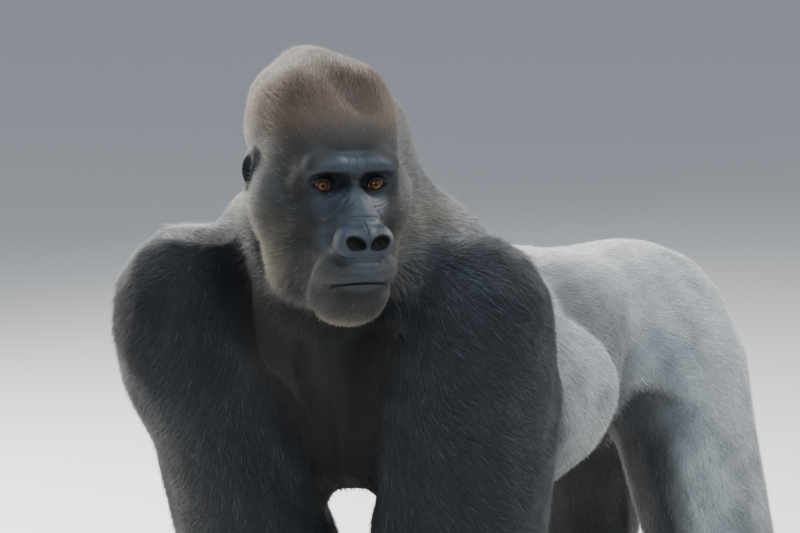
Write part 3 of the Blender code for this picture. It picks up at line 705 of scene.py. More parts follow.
def coat_shape(points, normals, weights):
    """Depth, length, width, rise and growth of the coat at each place."""
    shape = weights @ np.array([COAT[kind] for kind in KINDS])
    depth, length, _, rise, growth = shape.T
    x, y, z = mirrored(in_frame(HEAD, points))
    on_head = share_of(weights, "head")
    cheek = smooth_step(0.050, 0.080, x) * fade(0.0, 0.05, z) * fade(0.09, 0.15, y)
    fringe = fade(-0.135, -0.095, z) * smooth_step(-0.02, 0.03, y)
    forehead = fade(0.07, 0.11, z) * smooth_step(0.02, 0.04, z) * fade(0.03, 0.09, y)
    nape = smooth_step(0.13, 0.20, y)
    length *= 1.0 + on_head * (0.30 * cheek + 0.9 * fringe - 0.40 * forehead + 0.5 * nape)
    depth *= 1.0 + on_head * (0.6 * cheek + 0.9 * fringe - 0.50 * forehead + 0.4 * nape)
    muzzle = on_head * fade(-0.02, 0.04, y) * smooth_step(-0.165, -0.140, z)
    shape[:, :3] *= 1.0 - muzzle[:, None] * np.array((0.65, 0.45, 0.20))
    growth *= 1.0 - 0.22 * on_head * nape

    breast = breast_share(points, weights)
    length *= 1.0 - 0.55 * breast
    rise *= 1.0 - 0.50 * breast
    growth *= 1.0 - 0.55 * breast
    crease = hump(in_frame(CHEST, points)[:, 0], 0.0, 0.011)
    depth += breast * (0.010 + 0.013 * crease) + 0.016 * armpit_share(points, weights)
    behind = smooth_step(0.0, 0.7, normals[:, 1]) * fade(0.42, 0.62, points[:, 2])
    under = smooth_step(0.1, 0.6, -normals[:, 2]) * share_of(weights, "chest")
    length *= 1.0 + 0.5 * behind * share_of(weights, "upper_arm", "forearm") - 0.5 * under
    hollow = 0.013 * flank_hollow(points, weights)
    depth += hollow + 0.009 * groin_share(points, normals, weights)
    return shape


def refine(mesh, wanted):
    """Splits the faces whose vertices are all wanted."""
    bm = bmesh.new()
    bm.from_mesh(mesh)
    bm.verts.ensure_lookup_table()
    edges = [edge for edge in bm.edges if all(wanted[vertex.index] for vertex in edge.verts)]
    bmesh.ops.subdivide_edges(bm, edges=edges, cuts=1, use_grid_fill=True, smooth=0.0)
    bm.to_mesh(mesh)
    bm.free()
    mesh.update()


def settle(mesh, flesh, near, depth, rounds):
    """Moves the vertices near the fine forms onto them, less the depth of the coat."""
    points = coordinates(mesh)
    table = neighbour_table(mesh)
    chosen = np.flatnonzero(near > 0.0)
    share = near[chosen][:, None]
    for turn in range(rounds):
        if turn < rounds - 1:
            evened = points[table[chosen]].mean(1)
            points[chosen] += 0.5 * share * (evened - points[chosen])
        here = flesh.distance(points[chosen])
        slope = np.empty((len(chosen), 3))
        for axis in range(3):
            aside = np.zeros(3)
            aside[axis] = SLOPE_STEP
            slope[:, axis] = flesh.distance(points[chosen] + aside) - here
        slope /= SLOPE_STEP
        steep = np.maximum((slope**2).sum(1), 0.25)
        move = np.clip((here + depth[chosen]) / steep, -FURTHEST_MOVE, FURTHEST_MOVE)
        points[chosen] -= share * slope * move[:, None]
    points[:, 2] = np.maximum(points[:, 2], 0.0)
    set_coordinates(mesh, points)


def head_share(points):
    """How much a vertex follows the fine forms of the head, none at all beyond the ears."""
    local = in_frame(HEAD, points)
    away = np.linalg.norm(local - np.array((0.0, 0.035, -0.01)), axis=1)
    return fade(0.135, 0.175, away)


def end_share(points, places, turns, height):
    """The same for the hands or the feet, up to a height above the floor."""
    share = np.zeros(len(points))
    for name in SIDES:
        local = in_frame(floor_frame(places, turns, name), points)
        near = (np.abs(local[:, 0]) < 0.13) & (np.abs(local[:, 1] + 0.04) < 0.20)
        share = np.maximum(share, near * fade(height - 0.03, height, points[:, 2]))
    return share


def digit_share(points):
    """The same for hands and feet together."""
    hands = end_share(points, WRISTS, HAND_TURNS, 0.17)
    return np.maximum(hands, end_share(points, ANKLES, FOOT_TURNS, 0.12))


def wanted_at(level, points):
    """Which vertices lie where the skin is split once more: head, face, features, openings."""
    local = np.stack(mirrored(in_frame(HEAD, points)), axis=1)

    def within(place, reach):
        return np.linalg.norm(local - np.array(place), axis=1) < reach

    if level == 0:
        return (head_share(points) > 0.1) | (digit_share(points) > 0.3)
    if level == 1:
        return within((0.0, -0.020, -0.045), 0.108) | (ear_bareness(local) > 0.0)
    if level == 2:
        return within((0.0, -0.030, -0.050), 0.088)
    x, y, z = local.T
    mouth = (np.abs(z - mouth_height(x)) < 0.005) & (y < -0.03) & (x < 0.048)
    eye = within((EYE_HALF, EYE_DEPTH - 0.010, 0.0), 0.0175)
    return eye | within(NOSTRIL, 0.021) | mouth


def painted_shade_and_dark_skin(points, sunk):
    """How dark the skin is painted: painted shade inside the nostrils, the bowls of the ears and
    the mouth and under the brow, with the dark skin of the ears and the lips, and the edges of the
    lids, dark and partly painted shade.
    """
    local = in_frame(HEAD, points)
    x, y, z = mirrored(local)
    folded = np.stack([x, y, z], axis=1)
    nostril = np.linalg.norm(folded - NOSTRIL, axis=1) < 0.027
    bowl = np.linalg.norm((folded - EAR_BOWL) / EAR_BOWL_RADII, axis=1)
    ahead = (y < -0.02) * fade(0.036, 0.050, x)
    ring = np.hypot((x - EYE_HALF) / 0.0165, z / 0.0118) + 10.0 * (y > 0.004)
    socket = smooth_step(-0.010, 0.004, z) * fade(0.014, 0.020, z)
    # Painted shade in the nostrils, the ear bowls, the mouth's line and the sockets; own dark skin
    # of ears and lips; lid edges dark and partly painted shade
    shades = {
        "nostril": nostril * smooth_step(0.0008, 0.0026, sunk),
        "bowl of the ear": fade(0.92, 1.10, bowl),
        "ear": 0.72 * ear_bareness(local),
        "mouth": 0.95 * (hump(z, mouth_height(x), 0.0016) * ahead),
        "lips": 0.50 * (hump(z, -0.124, 0.015) * ahead),
        "edge of the lids": 0.62 * fade(0.85, 1.15, ring),
        "socket": 0.70 * socket * fade(0.040, 0.062, x) * (y < 0.02),
    }
    return np.max(list(shades.values()), axis=0)


def face_folds():
    """Each fold of the left of the face: its path across and up, its width and its depth."""
    folds = []
    arc = [math.radians(angle) for angle in range(200, 341, 14)]
    for ring, deep in ((0.0175, 0.0006), (0.0215, 0.0007), (0.0265, 0.0006)):
        path = [(EYE_HALF + 1.2 * ring * math.cos(turn), ring * math.sin(turn)) for turn in arc]
        folds.append((path, 0.0011, deep))
    for rise in (0.0165, 0.0095, 0.0020, -0.0060):
        folds.append((((0.0, rise), (0.012, rise + 0.002), (0.018, rise - 0.003)), 0.0012, 0.0008))
    for drop in (-0.020, -0.026, -0.033):
        folds.append((((0.0, drop), (0.016, drop - 0.001), (0.026, drop - 0.006)), 0.0011, 0.0006))
    mouth = [(across, mouth_height(across)) for across in MOUTH_STEPS]
    return folds + [
        (((0.0, 0.044), (0.0, 0.022)), 0.0016, 0.0010),
        (((0.010, 0.042), (0.013, 0.024)), 0.0016, 0.0009),
        (((0.0, -0.040), (0.0, -0.054)), 0.0011, 0.0020),
        (mouth, 0.0015, 0.0022),
        (((0.016, -0.012), (0.026, -0.028), (0.040, -0.044)), 0.0020, 0.0012),
        (((0.0, -0.090), (0.018, -0.089), (0.034, -0.083)), 0.0016, 0.0008),
    ]


def fold_depth(local):
    """How deep the skin of the face is creased at each place, in metres."""
    x, y, z = mirrored(local)
    depth = np.zeros(len(local))
    for path, width, deep in face_folds():
        nearest = np.full(len(local), 1.0)
        for (ax, az), (bx, bz) in zip(path, path[1:]):
            along = np.array((bx - ax, bz - az))
            share = ((x - ax) * along[0] + (z - az) * along[1]) / (along @ along)
            share = np.clip(share, 0, 1)
            away = np.hypot(x - ax - share * along[0], z - az - share * along[1])
            nearest = np.minimum(nearest, away)
        depth += deep * hump(nearest, 0.0, width)
    return depth * fade(0.02, 0.05, y)


def unwrap(mesh):
    """Lays the skin out flat in pieces, for the colours that are stored with it."""
    holder = add_object("to unwrap", mesh)
    bpy.context.view_layer.objects.active = holder
    holder.select_set(True)
    mesh.uv_layers.new(name="OFBake")
    bpy.ops.object.mode_set(mode="EDIT")
    bpy.ops.mesh.select_all(action="SELECT")
    bpy.ops.uv.smart_project(angle_limit=math.radians(66), island_margin=0.002)
    bpy.ops.object.mode_set(mode="OBJECT")
    bpy.data.objects.remove(holder)


def coat_depth(places, normals, weights):
    """How far the skin lies under the solids at each place, none where it is naked."""
    covered = 1.0 - bareness(places, normals, weights)
    return covered * coat_shape(places, normals, weights)[:, 0]


def sink_under_coat(mesh, weights):
    """Evens the skin out and moves it in from the solids by the depth of the coat."""
    table = neighbour_table(mesh)
    places = coordinates(mesh)
    places += 0.8 * (spread_out(places, table, 4) - places)
    set_coordinates(mesh, places)
    for _ in range(SINK_ROUNDS):
        inward = coat_depth(places, vertex_normals(mesh), weights) / SINK_ROUNDS
        places = places - vertex_normals(mesh) * inward[:, None]
        places += 0.5 * (spread_out(places, table, 1) - places)
        places[:, 2] = np.maximum(places[:, 2], 0.0)
        set_coordinates(mesh, places)


def head_flesh():
    """All the forms of the head, with its eyes, nose and mouth still closed."""
    flesh = Flesh()
    for lay in (skull_forms, face_forms, nose_and_crown_forms, lid_forms, ear_forms):
        lay(flesh)
    return flesh


def make_skin(settings):
    """One skin inside the solids by the coat's depth, fine on the face, hands and feet."""
    points, faces, kinds = joined_solids()
    mesh = one_body(settings, points, faces)
    weights = part_weights(mesh, points, faces, kinds)
    for kind, column in zip(KINDS, weights.T):
        store(mesh, f"part {kind}", "FLOAT", column)
    unwrap(mesh)
    sink_under_coat(mesh, weights)

    closed, opened, ends = head_flesh(), head_flesh(), Flesh()
    opening_forms(opened)
    for name in SIDES:
        hand_forms(ends, name)
        foot_forms(ends, name)
    for level in range(FINE_LEVELS):
        refine(mesh, wanted_at(level, coordinates(mesh)))
        places = coordinates(mesh)
        depth = coat_depth(places, vertex_normals(mesh), part_columns(mesh))
        head = opened if level >= OPENING_LEVEL else closed
        settle(mesh, head, head_share(places), depth, settings.rounds)
        if level == 0:
            settle(mesh, ends, digit_share(places), depth, settings.rounds)

    places, normals = coordinates(mesh), vertex_normals(mesh)
    store(mesh, "sunk", "FLOAT", -closed.distance(places) * (head_share(places) > 0.9))
    folds = fold_depth(in_frame(HEAD, places)) * (head_share(places) > 0.5) * settings.folds
    set_coordinates(mesh, places - normals * folds[:, None])
    return mesh


def lie_of_coat(points, normals, weights, table):
    """The way the hair lies at each vertex, along the surface."""
    down = np.array((0.0, 0.45, -1.0))
    kinds = {
        "neck": turned(CHEST, (0.0, 1.0, -0.9)),
        "chest": turned(CHEST, (0.0, 1.0, -1.0)),
        "belly": np.array((0.0, 1.0, -0.9)),
        "pelvis": turned(PELVIS, (0.0, 1.0, -0.9)),
        "upper_arm": down,
        "forearm": np.array((0.0, 0.25, -1.0)),
        "hand": np.array((0.0, -0.5, -1.0)),
        "thigh": down,
        "shin": down,
        "foot": np.array((0.0, -1.0, -0.2)),
        "ear": np.array((0.0, 1.0, 0.0)),
        "head": np.zeros(3),
    }
    guide = weights @ np.stack([kinds[kind] for kind in KINDS])
    beside = in_frame(CHEST, points)[:, [0]] / 0.2
    outward = beside * turned(CHEST, (0.8, 0.0, 0.0))
    guide += share_of(weights, "upper_arm")[:, None] * outward
    local = in_frame(HEAD, points)
    away = unit(local - np.array((0.0, -0.02, -0.02)))
    away[:, 1] += 0.75
    away[:, 2] -= 0.35 * smooth_step(0.06, 0.20, local[:, 1])
    guide += share_of(weights, "head")[:, None] * (unit(away) @ np.array(HEAD.to_3x3()).T)

    def along_surface(vectors):
        return unit(vectors - (vectors * normals).sum(1, keepdims=True) * normals)

    lie = along_surface(guide)
    for _ in range(LIE_ROUNDS):
        lie = along_surface(lie[table].mean(1))
    return lie


def wander(points, wavelength, seed):
    """A smooth random value from -1 to 1 that drifts over about a wavelength."""
    draw = np.random.default_rng(seed)
    waves = draw.normal(size=(7, 3)) * 2.0 * math.pi / wavelength * 0.6
    phases = draw.uniform(0, 2 * math.pi, 7)
    return np.clip(np.sin(points @ waves.T + phases).sum(1) / 3.2, -1.0, 1.0)


def silver_share(points, normals, weights):
    """How silver the coat of the body is, from none on the arms to 1 on back and rump, with
    painted shade taking it down in the flank's hollow, on the thigh's front, low on the belly and
    where the coat faces down.
    """
    _, y, z = mirrored(in_frame(CHEST, points))
    behind = smooth_step(0.04, 0.22, y)
    amount = share_of(weights, "belly", "pelvis")
    amount += share_of(weights, "chest") * behind * smooth_step(-0.42, -0.22, z)
    amount += share_of(weights, "upper_arm") * behind * smooth_step(-0.22, 0.0, z)
    # Legs silver on their outer faces; the inward and forward faces stay dark, for the inner
    # thighs' dark hair and as painted shade
    inner = np.where(points[:, 0] > MIDDLE_PLANE, -0.8, 0.8) * normals[:, 0] - 0.6 * normals[:, 1]
    height = points[:, 2] + 0.04 * wander(points, 0.10, 9)
    leg = share_of(weights, "thigh") + 0.9 * share_of(weights, "shin")
    amount += 0.85 * leg * smooth_step(0.10, 0.56, height) * fade(0.05, 0.62, inner)
    # Painted shade in the hollow of the flank behind the belly's round
    amount *= 1.0 - 0.68 * flank_hollow(points, weights)
    # Painted shade low on the belly and chest, under the body
    amount *= 1.0 - 0.35 * share_of(weights, "belly", "chest") * fade(0.52, 0.62, points[:, 2])
    # Painted shade on the front of the thigh under the flank's fold, over its own darker hair
    amount *= 1.0 - 0.95 * groin_share(points, normals, weights)
    mottled = 1.0 + 0.22 * wander(points, 0.045, 5) + 0.15 * wander(points, 0.14, 8)
    # Painted shade where the coat faces down
    under = smooth_step(0.35, 0.8, -normals[:, 2])
    return np.clip(amount * mottled, 0.0, 1.0) * (1.0 - 0.55 * under)


def head_colours(settings, points):
    """The colour of the coat on the head: brown crown, greyer cheeks, paler beard."""
    dark, rufous, fringe, grey = (
        np.array(colour)
        for colour in (settings.dark, settings.rufous, settings.fringe, settings.grey)
    )
    x, y, z = mirrored(in_frame(HEAD, points))
    crown = smooth_step(0.034, 0.082, z) * smooth_step(-0.03, 0.02, y)
    crown = np.clip(crown * (0.9 + 0.25 * wander(points, 0.035, 7)), 0.0, 1.0)
    crown *= 1.0 - 0.80 * smooth_step(0.14, 0.22, y)
    temple = smooth_step(0.050, 0.085, x) * smooth_step(0.0, 0.06, y)
    shaded = np.exp(-(((x - 0.052) / 0.020) ** 2) - ((z + 0.045) / 0.040) ** 2)
    shaded *= fade(0.03, 0.07, y)
    chin = fade(-0.172, -0.148, z) * fade(0.01, 0.04, y)
    jaw = smooth_step(0.060, 0.080, x) * fade(-0.10, -0.02, z) * (z > -0.15)
    beard = 0.8 * np.clip(chin + jaw, 0.0, 1.0) * (1.0 - crown)
    # Painted shade under the jaw: the throat's dark hair darkened further
    throat = fade(-0.165, -0.135, z + 0.5 * np.maximum(0.03 - y, 0.0)) * smooth_step(0.02, 0.05, y)
    hair = grey * (0.46 + 0.55 * temple - 0.26 * shaded)[:, None]
    for colour, share in ((fringe, beard), (rufous, crown), (dark * 0.4, throat)):
        hair = hair + (colour - hair) * share[:, None]

    forehead = smooth_step(0.030, 0.045, z) * fade(0.060, 0.090, z) * fade(0.02, 0.06, y)
    # Painted shade at the temples beside the brow
    beside = np.exp(-(((x - 0.066) / 0.018) ** 2) - ((z - 0.022) / 0.030) ** 2)
    beside *= fade(0.04, 0.08, y)
    # The top of the head painted darker, against the strong light from above
    top = smooth_step(0.105, 0.150, z)
    hair *= (1.0 - 0.25 * forehead - 0.55 * beside - 0.50 * top)[:, None]
    middle, front = fade(0.022, 0.044, x), fade(0.0, 0.04, y)
    # Painted shade under the mouth, on the front of the chin
    under_mouth = smooth_step(-0.175, -0.160, z) * fade(-0.122, -0.110, z) * middle * front
    # Painted shade in the crease between muzzle and cheek
    crease = hump(x, 0.067, 0.009) * smooth_step(-0.16, -0.13, z) * fade(-0.08, -0.05, z)
    # Painted light on the sides of the muzzle
    lips = smooth_step(-0.130, -0.112, z) * fade(-0.090, -0.075, z) * front * (1.0 - middle)
    hair *= (1.0 - 0.55 * under_mouth - 0.40 * crease * (y < 0.04) + 0.35 * lips)[:, None]
    return hair


def coat_colours(settings, points, normals, weights):
    """The colour of the coat at each place: brown crown, dark arms, silver back, and a chest
    darkened for its black hair and with painted shade.
    """
    dark, silver, grey = (
        np.array(colour) for colour in (settings.dark, settings.silver, settings.grey)
    )
    amount = silver_share(points, normals, weights)
    colour = dark + (silver - dark) * amount[:, None]
    _, y, z = mirrored(in_frame(CHEST, points))
    nape = smooth_step(-0.10, 0.04, y) * smooth_step(-0.05, 0.05, z + y)
    neck = share_of(weights, "neck") * nape * (0.8 + 0.2 * wander(points, 0.06, 6))
    colour += (grey * 1.2 - colour) * neck[:, None]
    # Painted shade on the front of the chest, over its own black sparse hair, and in the folds of
    # the armpits
    shade = 0.90 * breast_share(points, weights) + 0.60 * armpit_share(points, weights)
    colour *= 1.0 - np.clip(shade, 0.0, 0.93)[:, None]
    colour += (head_colours(settings, points) - colour) * share_of(weights, "head")[:, None]
    return colour


class SkinSettings(bpy.types.PropertyGroup):
    """Sizes and colours of the skin."""

    spacing: FloatProperty(
        name="Spacing",
        description="Size of the skin's faces on the body",
        default=0.0073,
        min=0.004,
        unit="LENGTH",
    )
    rounds: IntProperty(
        name="Rounds", description="How often the skin is laid on its forms", default=6, min=1
    )
    folds: FloatProperty(
        name="Folds", description="How deep the folds of the face are", default=0.8, min=0.0
    )
    tone: FloatVectorProperty(
        name="Tone",
        description="Colour of the naked skin",
        default=(0.021, 0.027, 0.038),
        size=3,
        subtype="COLOR",
    )
    pale: FloatVectorProperty(
        name="Worn",
        description="Colour of worn and dusty skin",
        default=(0.056, 0.070, 0.090),
        size=3,
        subtype="COLOR",
    )


class CoatSettings(bpy.types.PropertyGroup):
    """Sizes and colours of the coat."""

    length: FloatProperty(
        name="Length", description="Length of the hair against a usual coat", default=1.0, min=0.2
    )
    thickness: FloatProperty(
        name="Thickness", description="Tufts grown against a usual coat", default=1.0, min=0.05
    )
    locks: FloatProperty(
        name="Locks", description="Share of the tufts that are long bowed locks", default=0.04
    )
    seed: IntProperty(name="Seed", description="Which of the random coats is grown", default=11)
    dark: FloatVectorProperty(
        name="Dark",
        description="Arms, chest and legs",
        default=(0.018, 0.021, 0.026),
        size=3,
        subtype="COLOR",
    )
    silver: FloatVectorProperty(
        name="Silver",
        description="Saddle, flanks and rump",
        default=(0.46, 0.475, 0.48),
        size=3,
        subtype="COLOR",
    )
    rufous: FloatVectorProperty(
        name="Rufous",
        description="Crown of the head",
        default=(0.122, 0.078, 0.054),
        size=3,
        subtype="COLOR",
    )
    fringe: FloatVectorProperty(
        name="Fringe",
        description="Beard and edge of the jaw",
        default=(0.190, 0.165, 0.130),
        size=3,
        subtype="COLOR",
    )
    grey: FloatVectorProperty(
        name="Grey",
        description="Neck and cheeks",
        default=(0.120, 0.118, 0.112),
        size=3,
        subtype="COLOR",
    )


class EyeSettings(bpy.types.PropertyGroup):
    """Colours of the eyes."""

    iris: FloatVectorProperty(
        name="Iris",
        description="Colour of the iris",
        default=(0.22, 0.073, 0.024),
        size=3,
        subtype="COLOR",
    )
    white: FloatVectorProperty(
        name="White",
        description="Colour of the eyeball's white",
        default=(0.55, 0.27, 0.19),
        size=3,
        subtype="COLOR",
    )


class NailSettings(bpy.types.PropertyGroup):
    """Colours of the nails."""

    horn: FloatVectorProperty(
        name="Horn",
        description="Colour of the nails",
        default=(0.040, 0.034, 0.030),
        size=3,
        subtype="COLOR",
    )


class StageSettings(bpy.types.PropertyGroup):
    """Floor, light and camera."""

    floor: FloatVectorProperty(
        name="Floor",
        description="Colour of the floor",
        default=(0.78, 0.77, 0.74),
        size=3,
        subtype="COLOR",
    )
    azimuth: FloatProperty(
        name="Azimuth",
        description="Where the camera stands",
        default=math.radians(37.0),
        subtype="ANGLE",
    )
    elevation: FloatProperty(
        name="Elevation",
        description="How high the camera looks from",
        default=math.radians(10.0),
        subtype="ANGLE",
    )
    distance: FloatProperty(
        name="Distance", description="How far off the camera stands", default=5.0, unit="LENGTH"
    )
    width: FloatProperty(
        name="View width",
        description="Width of the view at the animal",
        default=1.08,
        unit="LENGTH",
    )


# ---------------------------------------------------------------- materials


class Nodes:
    """Short words for laying nodes in a tree."""

    def __init__(self, tree):
        self.tree = tree

    def feed(self, node, values):
        """Links sockets to a node's inputs, or sets the inputs to values."""
        for key, value in dict(values).items():
            if isinstance(value, bpy.types.NodeSocket):
                self.tree.links.new(value, node.inputs[key])
            else:
                node.inputs[key].default_value = value

    def add(self, kind, inputs=(), **settings):
        """A node of a kind, with its inputs fed and its settings set."""
        node = self.tree.nodes.new(f"ShaderNode{kind}")
        for key, value in settings.items():
            setattr(node, key, value)
        self.feed(node, inputs)
        return node

    def attribute(self, name, output="Fac"):
        """What the mesh stores under a name."""
        return self.add("Attribute", attribute_name=name).outputs[output]

    def noise(self, place, scale, detail, roughness=0.5):
        """A cloudy value from 0 to 1."""
        inputs = {"Vector": place, "Scale": scale, "Detail": detail, "Roughness": roughness}
        return self.add("TexNoise", inputs).outputs["Fac"]

    def maths(self, operation, a, b=0.0):
        """Two values put together."""
        return self.add("Math", {0: a, 1: b}, operation=operation).outputs[0]

    def scaled(self, vector, factor):
        """A vector or a colour times a value."""
        inputs = {0: vector, "Scale": factor}
        return self.add("VectorMath", inputs, operation="SCALE").outputs[0]

    def mix(self, factor, a, b):
        """Two colours mixed."""
        return self.add("Mix", {0: factor, 6: a, 7: b}, data_type="RGBA").outputs[2]

    def blend(self, factor, a, b):
        """Two numbers mixed."""
        return self.add("Mix", {0: factor, 2: a, 3: b}).outputs[0]

    def ramp(self, value, low, high, to_low=0.0, to_high=1.0):
        """A value taken from one range to another."""
        span = {"From Min": low, "From Max": high, "To Min": to_low, "To Max": to_high}
        return self.add("MapRange", {"Value": value, **span}).outputs["Result"]

    def bump(self, height, strength, distance):
        """The normal that a height gives."""
        inputs = {"Height": height, "Strength": strength, "Distance": distance}
        return self.add("Bump", inputs).outputs[0]


# HOLLOW_BLACK: the painted shade and the dark skin of the face's hollows
HOLLOW_BLACK, FUR_BLACK = (0.0025, 0.0022, 0.0022, 1.0), (0.010, 0.010, 0.011, 1.0)
RIM_BLACK, PUPIL_BLACK = (0.010, 0.006, 0.004, 1.0), (0.001, 0.001, 0.001, 1.0)
EYE_VEINS, WORN_HORN = (0.14, 0.06, 0.04, 1.0), (0.11, 0.09, 0.07, 1.0)


def new_group(name, inputs, outputs):
    """An empty node group with named sockets: each is (name, socket type, default)."""
    tree = bpy.data.node_groups.new(name, "ShaderNodeTree")
    for socket, kind, value in inputs:
        made = tree.interface.new_socket(socket, in_out="INPUT", socket_type=kind)
        if value is not None:
            made.default_value = value
    for socket, kind in outputs:
        tree.interface.new_socket(socket, in_out="OUTPUT", socket_type=kind)
    return tree, tree.nodes.new("NodeGroupInput"), tree.nodes.new("NodeGroupOutput")


def strands_group():
    """Fine hairs inside a tuft: a streaked value and the height of the strands."""
    if "strands" in bpy.data.node_groups:
        return bpy.data.node_groups["strands"]
    tree, given, made = new_group(
        "strands",
        [
            ("Place", "NodeSocketVector", None),
            ("Strand", "NodeSocketFloat", 0.0),
            ("Hairs", "NodeSocketFloat", 5.0),
        ],
        [("Streak", "NodeSocketFloat"), ("Height", "NodeSocketFloat")],
    )
    nodes = Nodes(tree)
    strand = given.outputs["Strand"]
    split = nodes.add("SeparateXYZ", {0: given.outputs["Place"]})
    across = nodes.maths("MULTIPLY", split.outputs[0], given.outputs["Hairs"])
    across = nodes.maths("ADD", across, nodes.maths("MULTIPLY", strand, 93.0))
    along = nodes.maths("MULTIPLY", split.outputs[1], 1.3)
    place = nodes.add("CombineXYZ", {0: across, 1: along, 2: strand})
    noise = nodes.noise(place.outputs[0], 1.0, 2.0, 0.6)
    tree.links.new(nodes.ramp(noise, 0.30, 0.70), made.inputs["Streak"])
    tree.links.new(noise, made.inputs["Height"])
    return tree


def creased_group():
    """Skin like worn leather: pebbles parted by fine lines, at a size and a depth."""
    if "creased skin" in bpy.data.node_groups:
        return bpy.data.node_groups["creased skin"]
    tree, given, made = new_group(
        "creased skin",
        [
            ("Place", "NodeSocketVector", None),
            ("Pebble", "NodeSocketFloat", 600.0),
            ("Lines", "NodeSocketFloat", 160.0),
        ],
        [("Height", "NodeSocketFloat"), ("Hollow", "NodeSocketFloat")],
    )
    nodes = Nodes(tree)
    place = given.outputs["Place"]
    bent = nodes.add("TexNoise", {"Vector": place, "Scale": 90.0, "Detail": 2.0})
    shift = nodes.scaled(bent.outputs["Color"], 0.006)
    place = nodes.add("VectorMath", {0: place, 1: shift}, operation="ADD").outputs[0]
    height = 0.0
    for scale, width, deep in (("Pebble", 0.22, 0.45), ("Lines", 0.10, 0.55)):
        inputs = {"Vector": place, "Scale": given.outputs[scale]}
        cells = nodes.add("TexVoronoi", inputs, feature="DISTANCE_TO_EDGE")
        rise = nodes.ramp(cells.outputs["Distance"], 0.0, width)
        height = nodes.maths("ADD", height, nodes.maths("MULTIPLY", rise, deep))
    tree.links.new(height, made.inputs["Height"])
    tree.links.new(nodes.maths("SUBTRACT", 1.0, height), made.inputs["Hollow"])
    return tree


def new_material(name):
    """A material with its nodes and the shader that they feed."""
    made = bpy.data.materials.new(name)
    made.use_nodes = True
    return made, Nodes(made.node_tree), made.node_tree.nodes["Principled BSDF"]


def rgba(colour, factor=1.0):
    """A colour for a node's input, darkened by a factor."""
    return (*(value * factor for value in colour), 1.0)


def skin_material(settings):
    """Black skin, creased and a little shiny, with painted shade in its creases and hollows,
    fading under the coat to the coat's colour.
    """
    made, nodes, surface = new_material("skin")
    place, bare = nodes.attribute("rest", "Vector"), nodes.attribute("bare")
    hollow, coat = nodes.attribute("hollow"), nodes.attribute("coat colour", "Color")
    creased = nodes.add("Group", node_tree=creased_group())
    nodes.feed(creased, {"Place": place, "Pebble": 780.0, "Lines": 190.0})
    large = nodes.noise(place, 22.0, 4.0, 0.6)
    worn = nodes.ramp(large, 0.42, 0.72, 0.0, 0.75)
    tone = nodes.mix(worn, rgba(settings.tone), rgba(settings.pale))
    # Painted shade: the skin darkened in the fine lines of its creases
    crease_shade = nodes.maths("MULTIPLY", creased.outputs["Hollow"], 0.35)
    tone = nodes.mix(crease_shade, tone, rgba(settings.tone, 0.5))
    # Painted shade in the hollows of the face, with the dark skin of the ears, lips and lid edges
    tone = nodes.mix(hollow, tone, HOLLOW_BLACK)
    fur = nodes.noise(place, 620.0, 3.0, 0.7)
    under = nodes.mix(nodes.ramp(fur, 0.35, 0.65, 0.62, 0.10), coat, FUR_BLACK)
    rough = nodes.ramp(large, 0.3, 0.7, 0.38, 0.55)
    rough = nodes.maths("MAXIMUM", rough, nodes.ramp(hollow, 0.0, 1.0, 0.0, 0.95))
    height = nodes.blend(bare, fur, creased.outputs["Height"])
    inputs = {
        "Base Color": nodes.mix(bare, under, tone),
        "Roughness": nodes.blend(bare, 0.85, rough),
        "Normal": nodes.bump(height, 0.36, 0.0012),
        "Specular IOR Level": 0.42,
    }
    nodes.feed(surface, inputs)
    return made


def coat_material(name, roughness, sheen, gloss):
    """Hair in tufts: streaked along, darker at the root."""
    if name in bpy.data.materials:
        return bpy.data.materials[name]
    made, nodes, surface = new_material(name)
    place = nodes.add("UVMap", uv_map="lock").outputs[0]
    strands = nodes.add("Group", node_tree=strands_group())
    nodes.feed(strands, {"Place": place, "Strand": nodes.attribute("strand"), "Hairs": 5.0})
    along = nodes.add("SeparateXYZ", {0: place}).outputs[1]
    shade = nodes.ramp(along, 0.0, 0.8, 0.65, 1.12)
    streak = nodes.ramp(strands.outputs["Streak"], 0.0, 1.0, 0.75, 1.25)
    value = nodes.maths("MULTIPLY", shade, streak)
    inputs = {
        "Base Color": nodes.scaled(nodes.attribute("coat colour", "Color"), value),
        "Roughness": roughness,
        "Normal": nodes.bump(strands.outputs["Height"], 0.6, 0.0006),
        "Sheen Weight": sheen,
        "Sheen Roughness": 0.45,
        "Specular IOR Level": gloss,
    }
    nodes.feed(surface, inputs)
    return made


# ---------------------------------------------------------------- the coat


def triangles_of(mesh):
    """The vertices and the loops of each triangle."""
    mesh.calc_loop_triangles()
    count = len(mesh.loop_triangles)
    corners, loops = np.empty(count * 3, np.int32), np.empty(count * 3, np.int32)
    mesh.loop_triangles.foreach_get("vertices", corners)
    mesh.loop_triangles.foreach_get("loops", loops)
    return corners.reshape(-1, 3), loops.reshape(-1, 3)


def bake_places(mesh):
    """Where each loop lies on the flattened skin."""
    places = np.empty(len(mesh.loops) * 2, np.float32)
    mesh.uv_layers["OFBake"].data.foreach_get("uv", places)
    return places.reshape(-1, 2).astype(float)


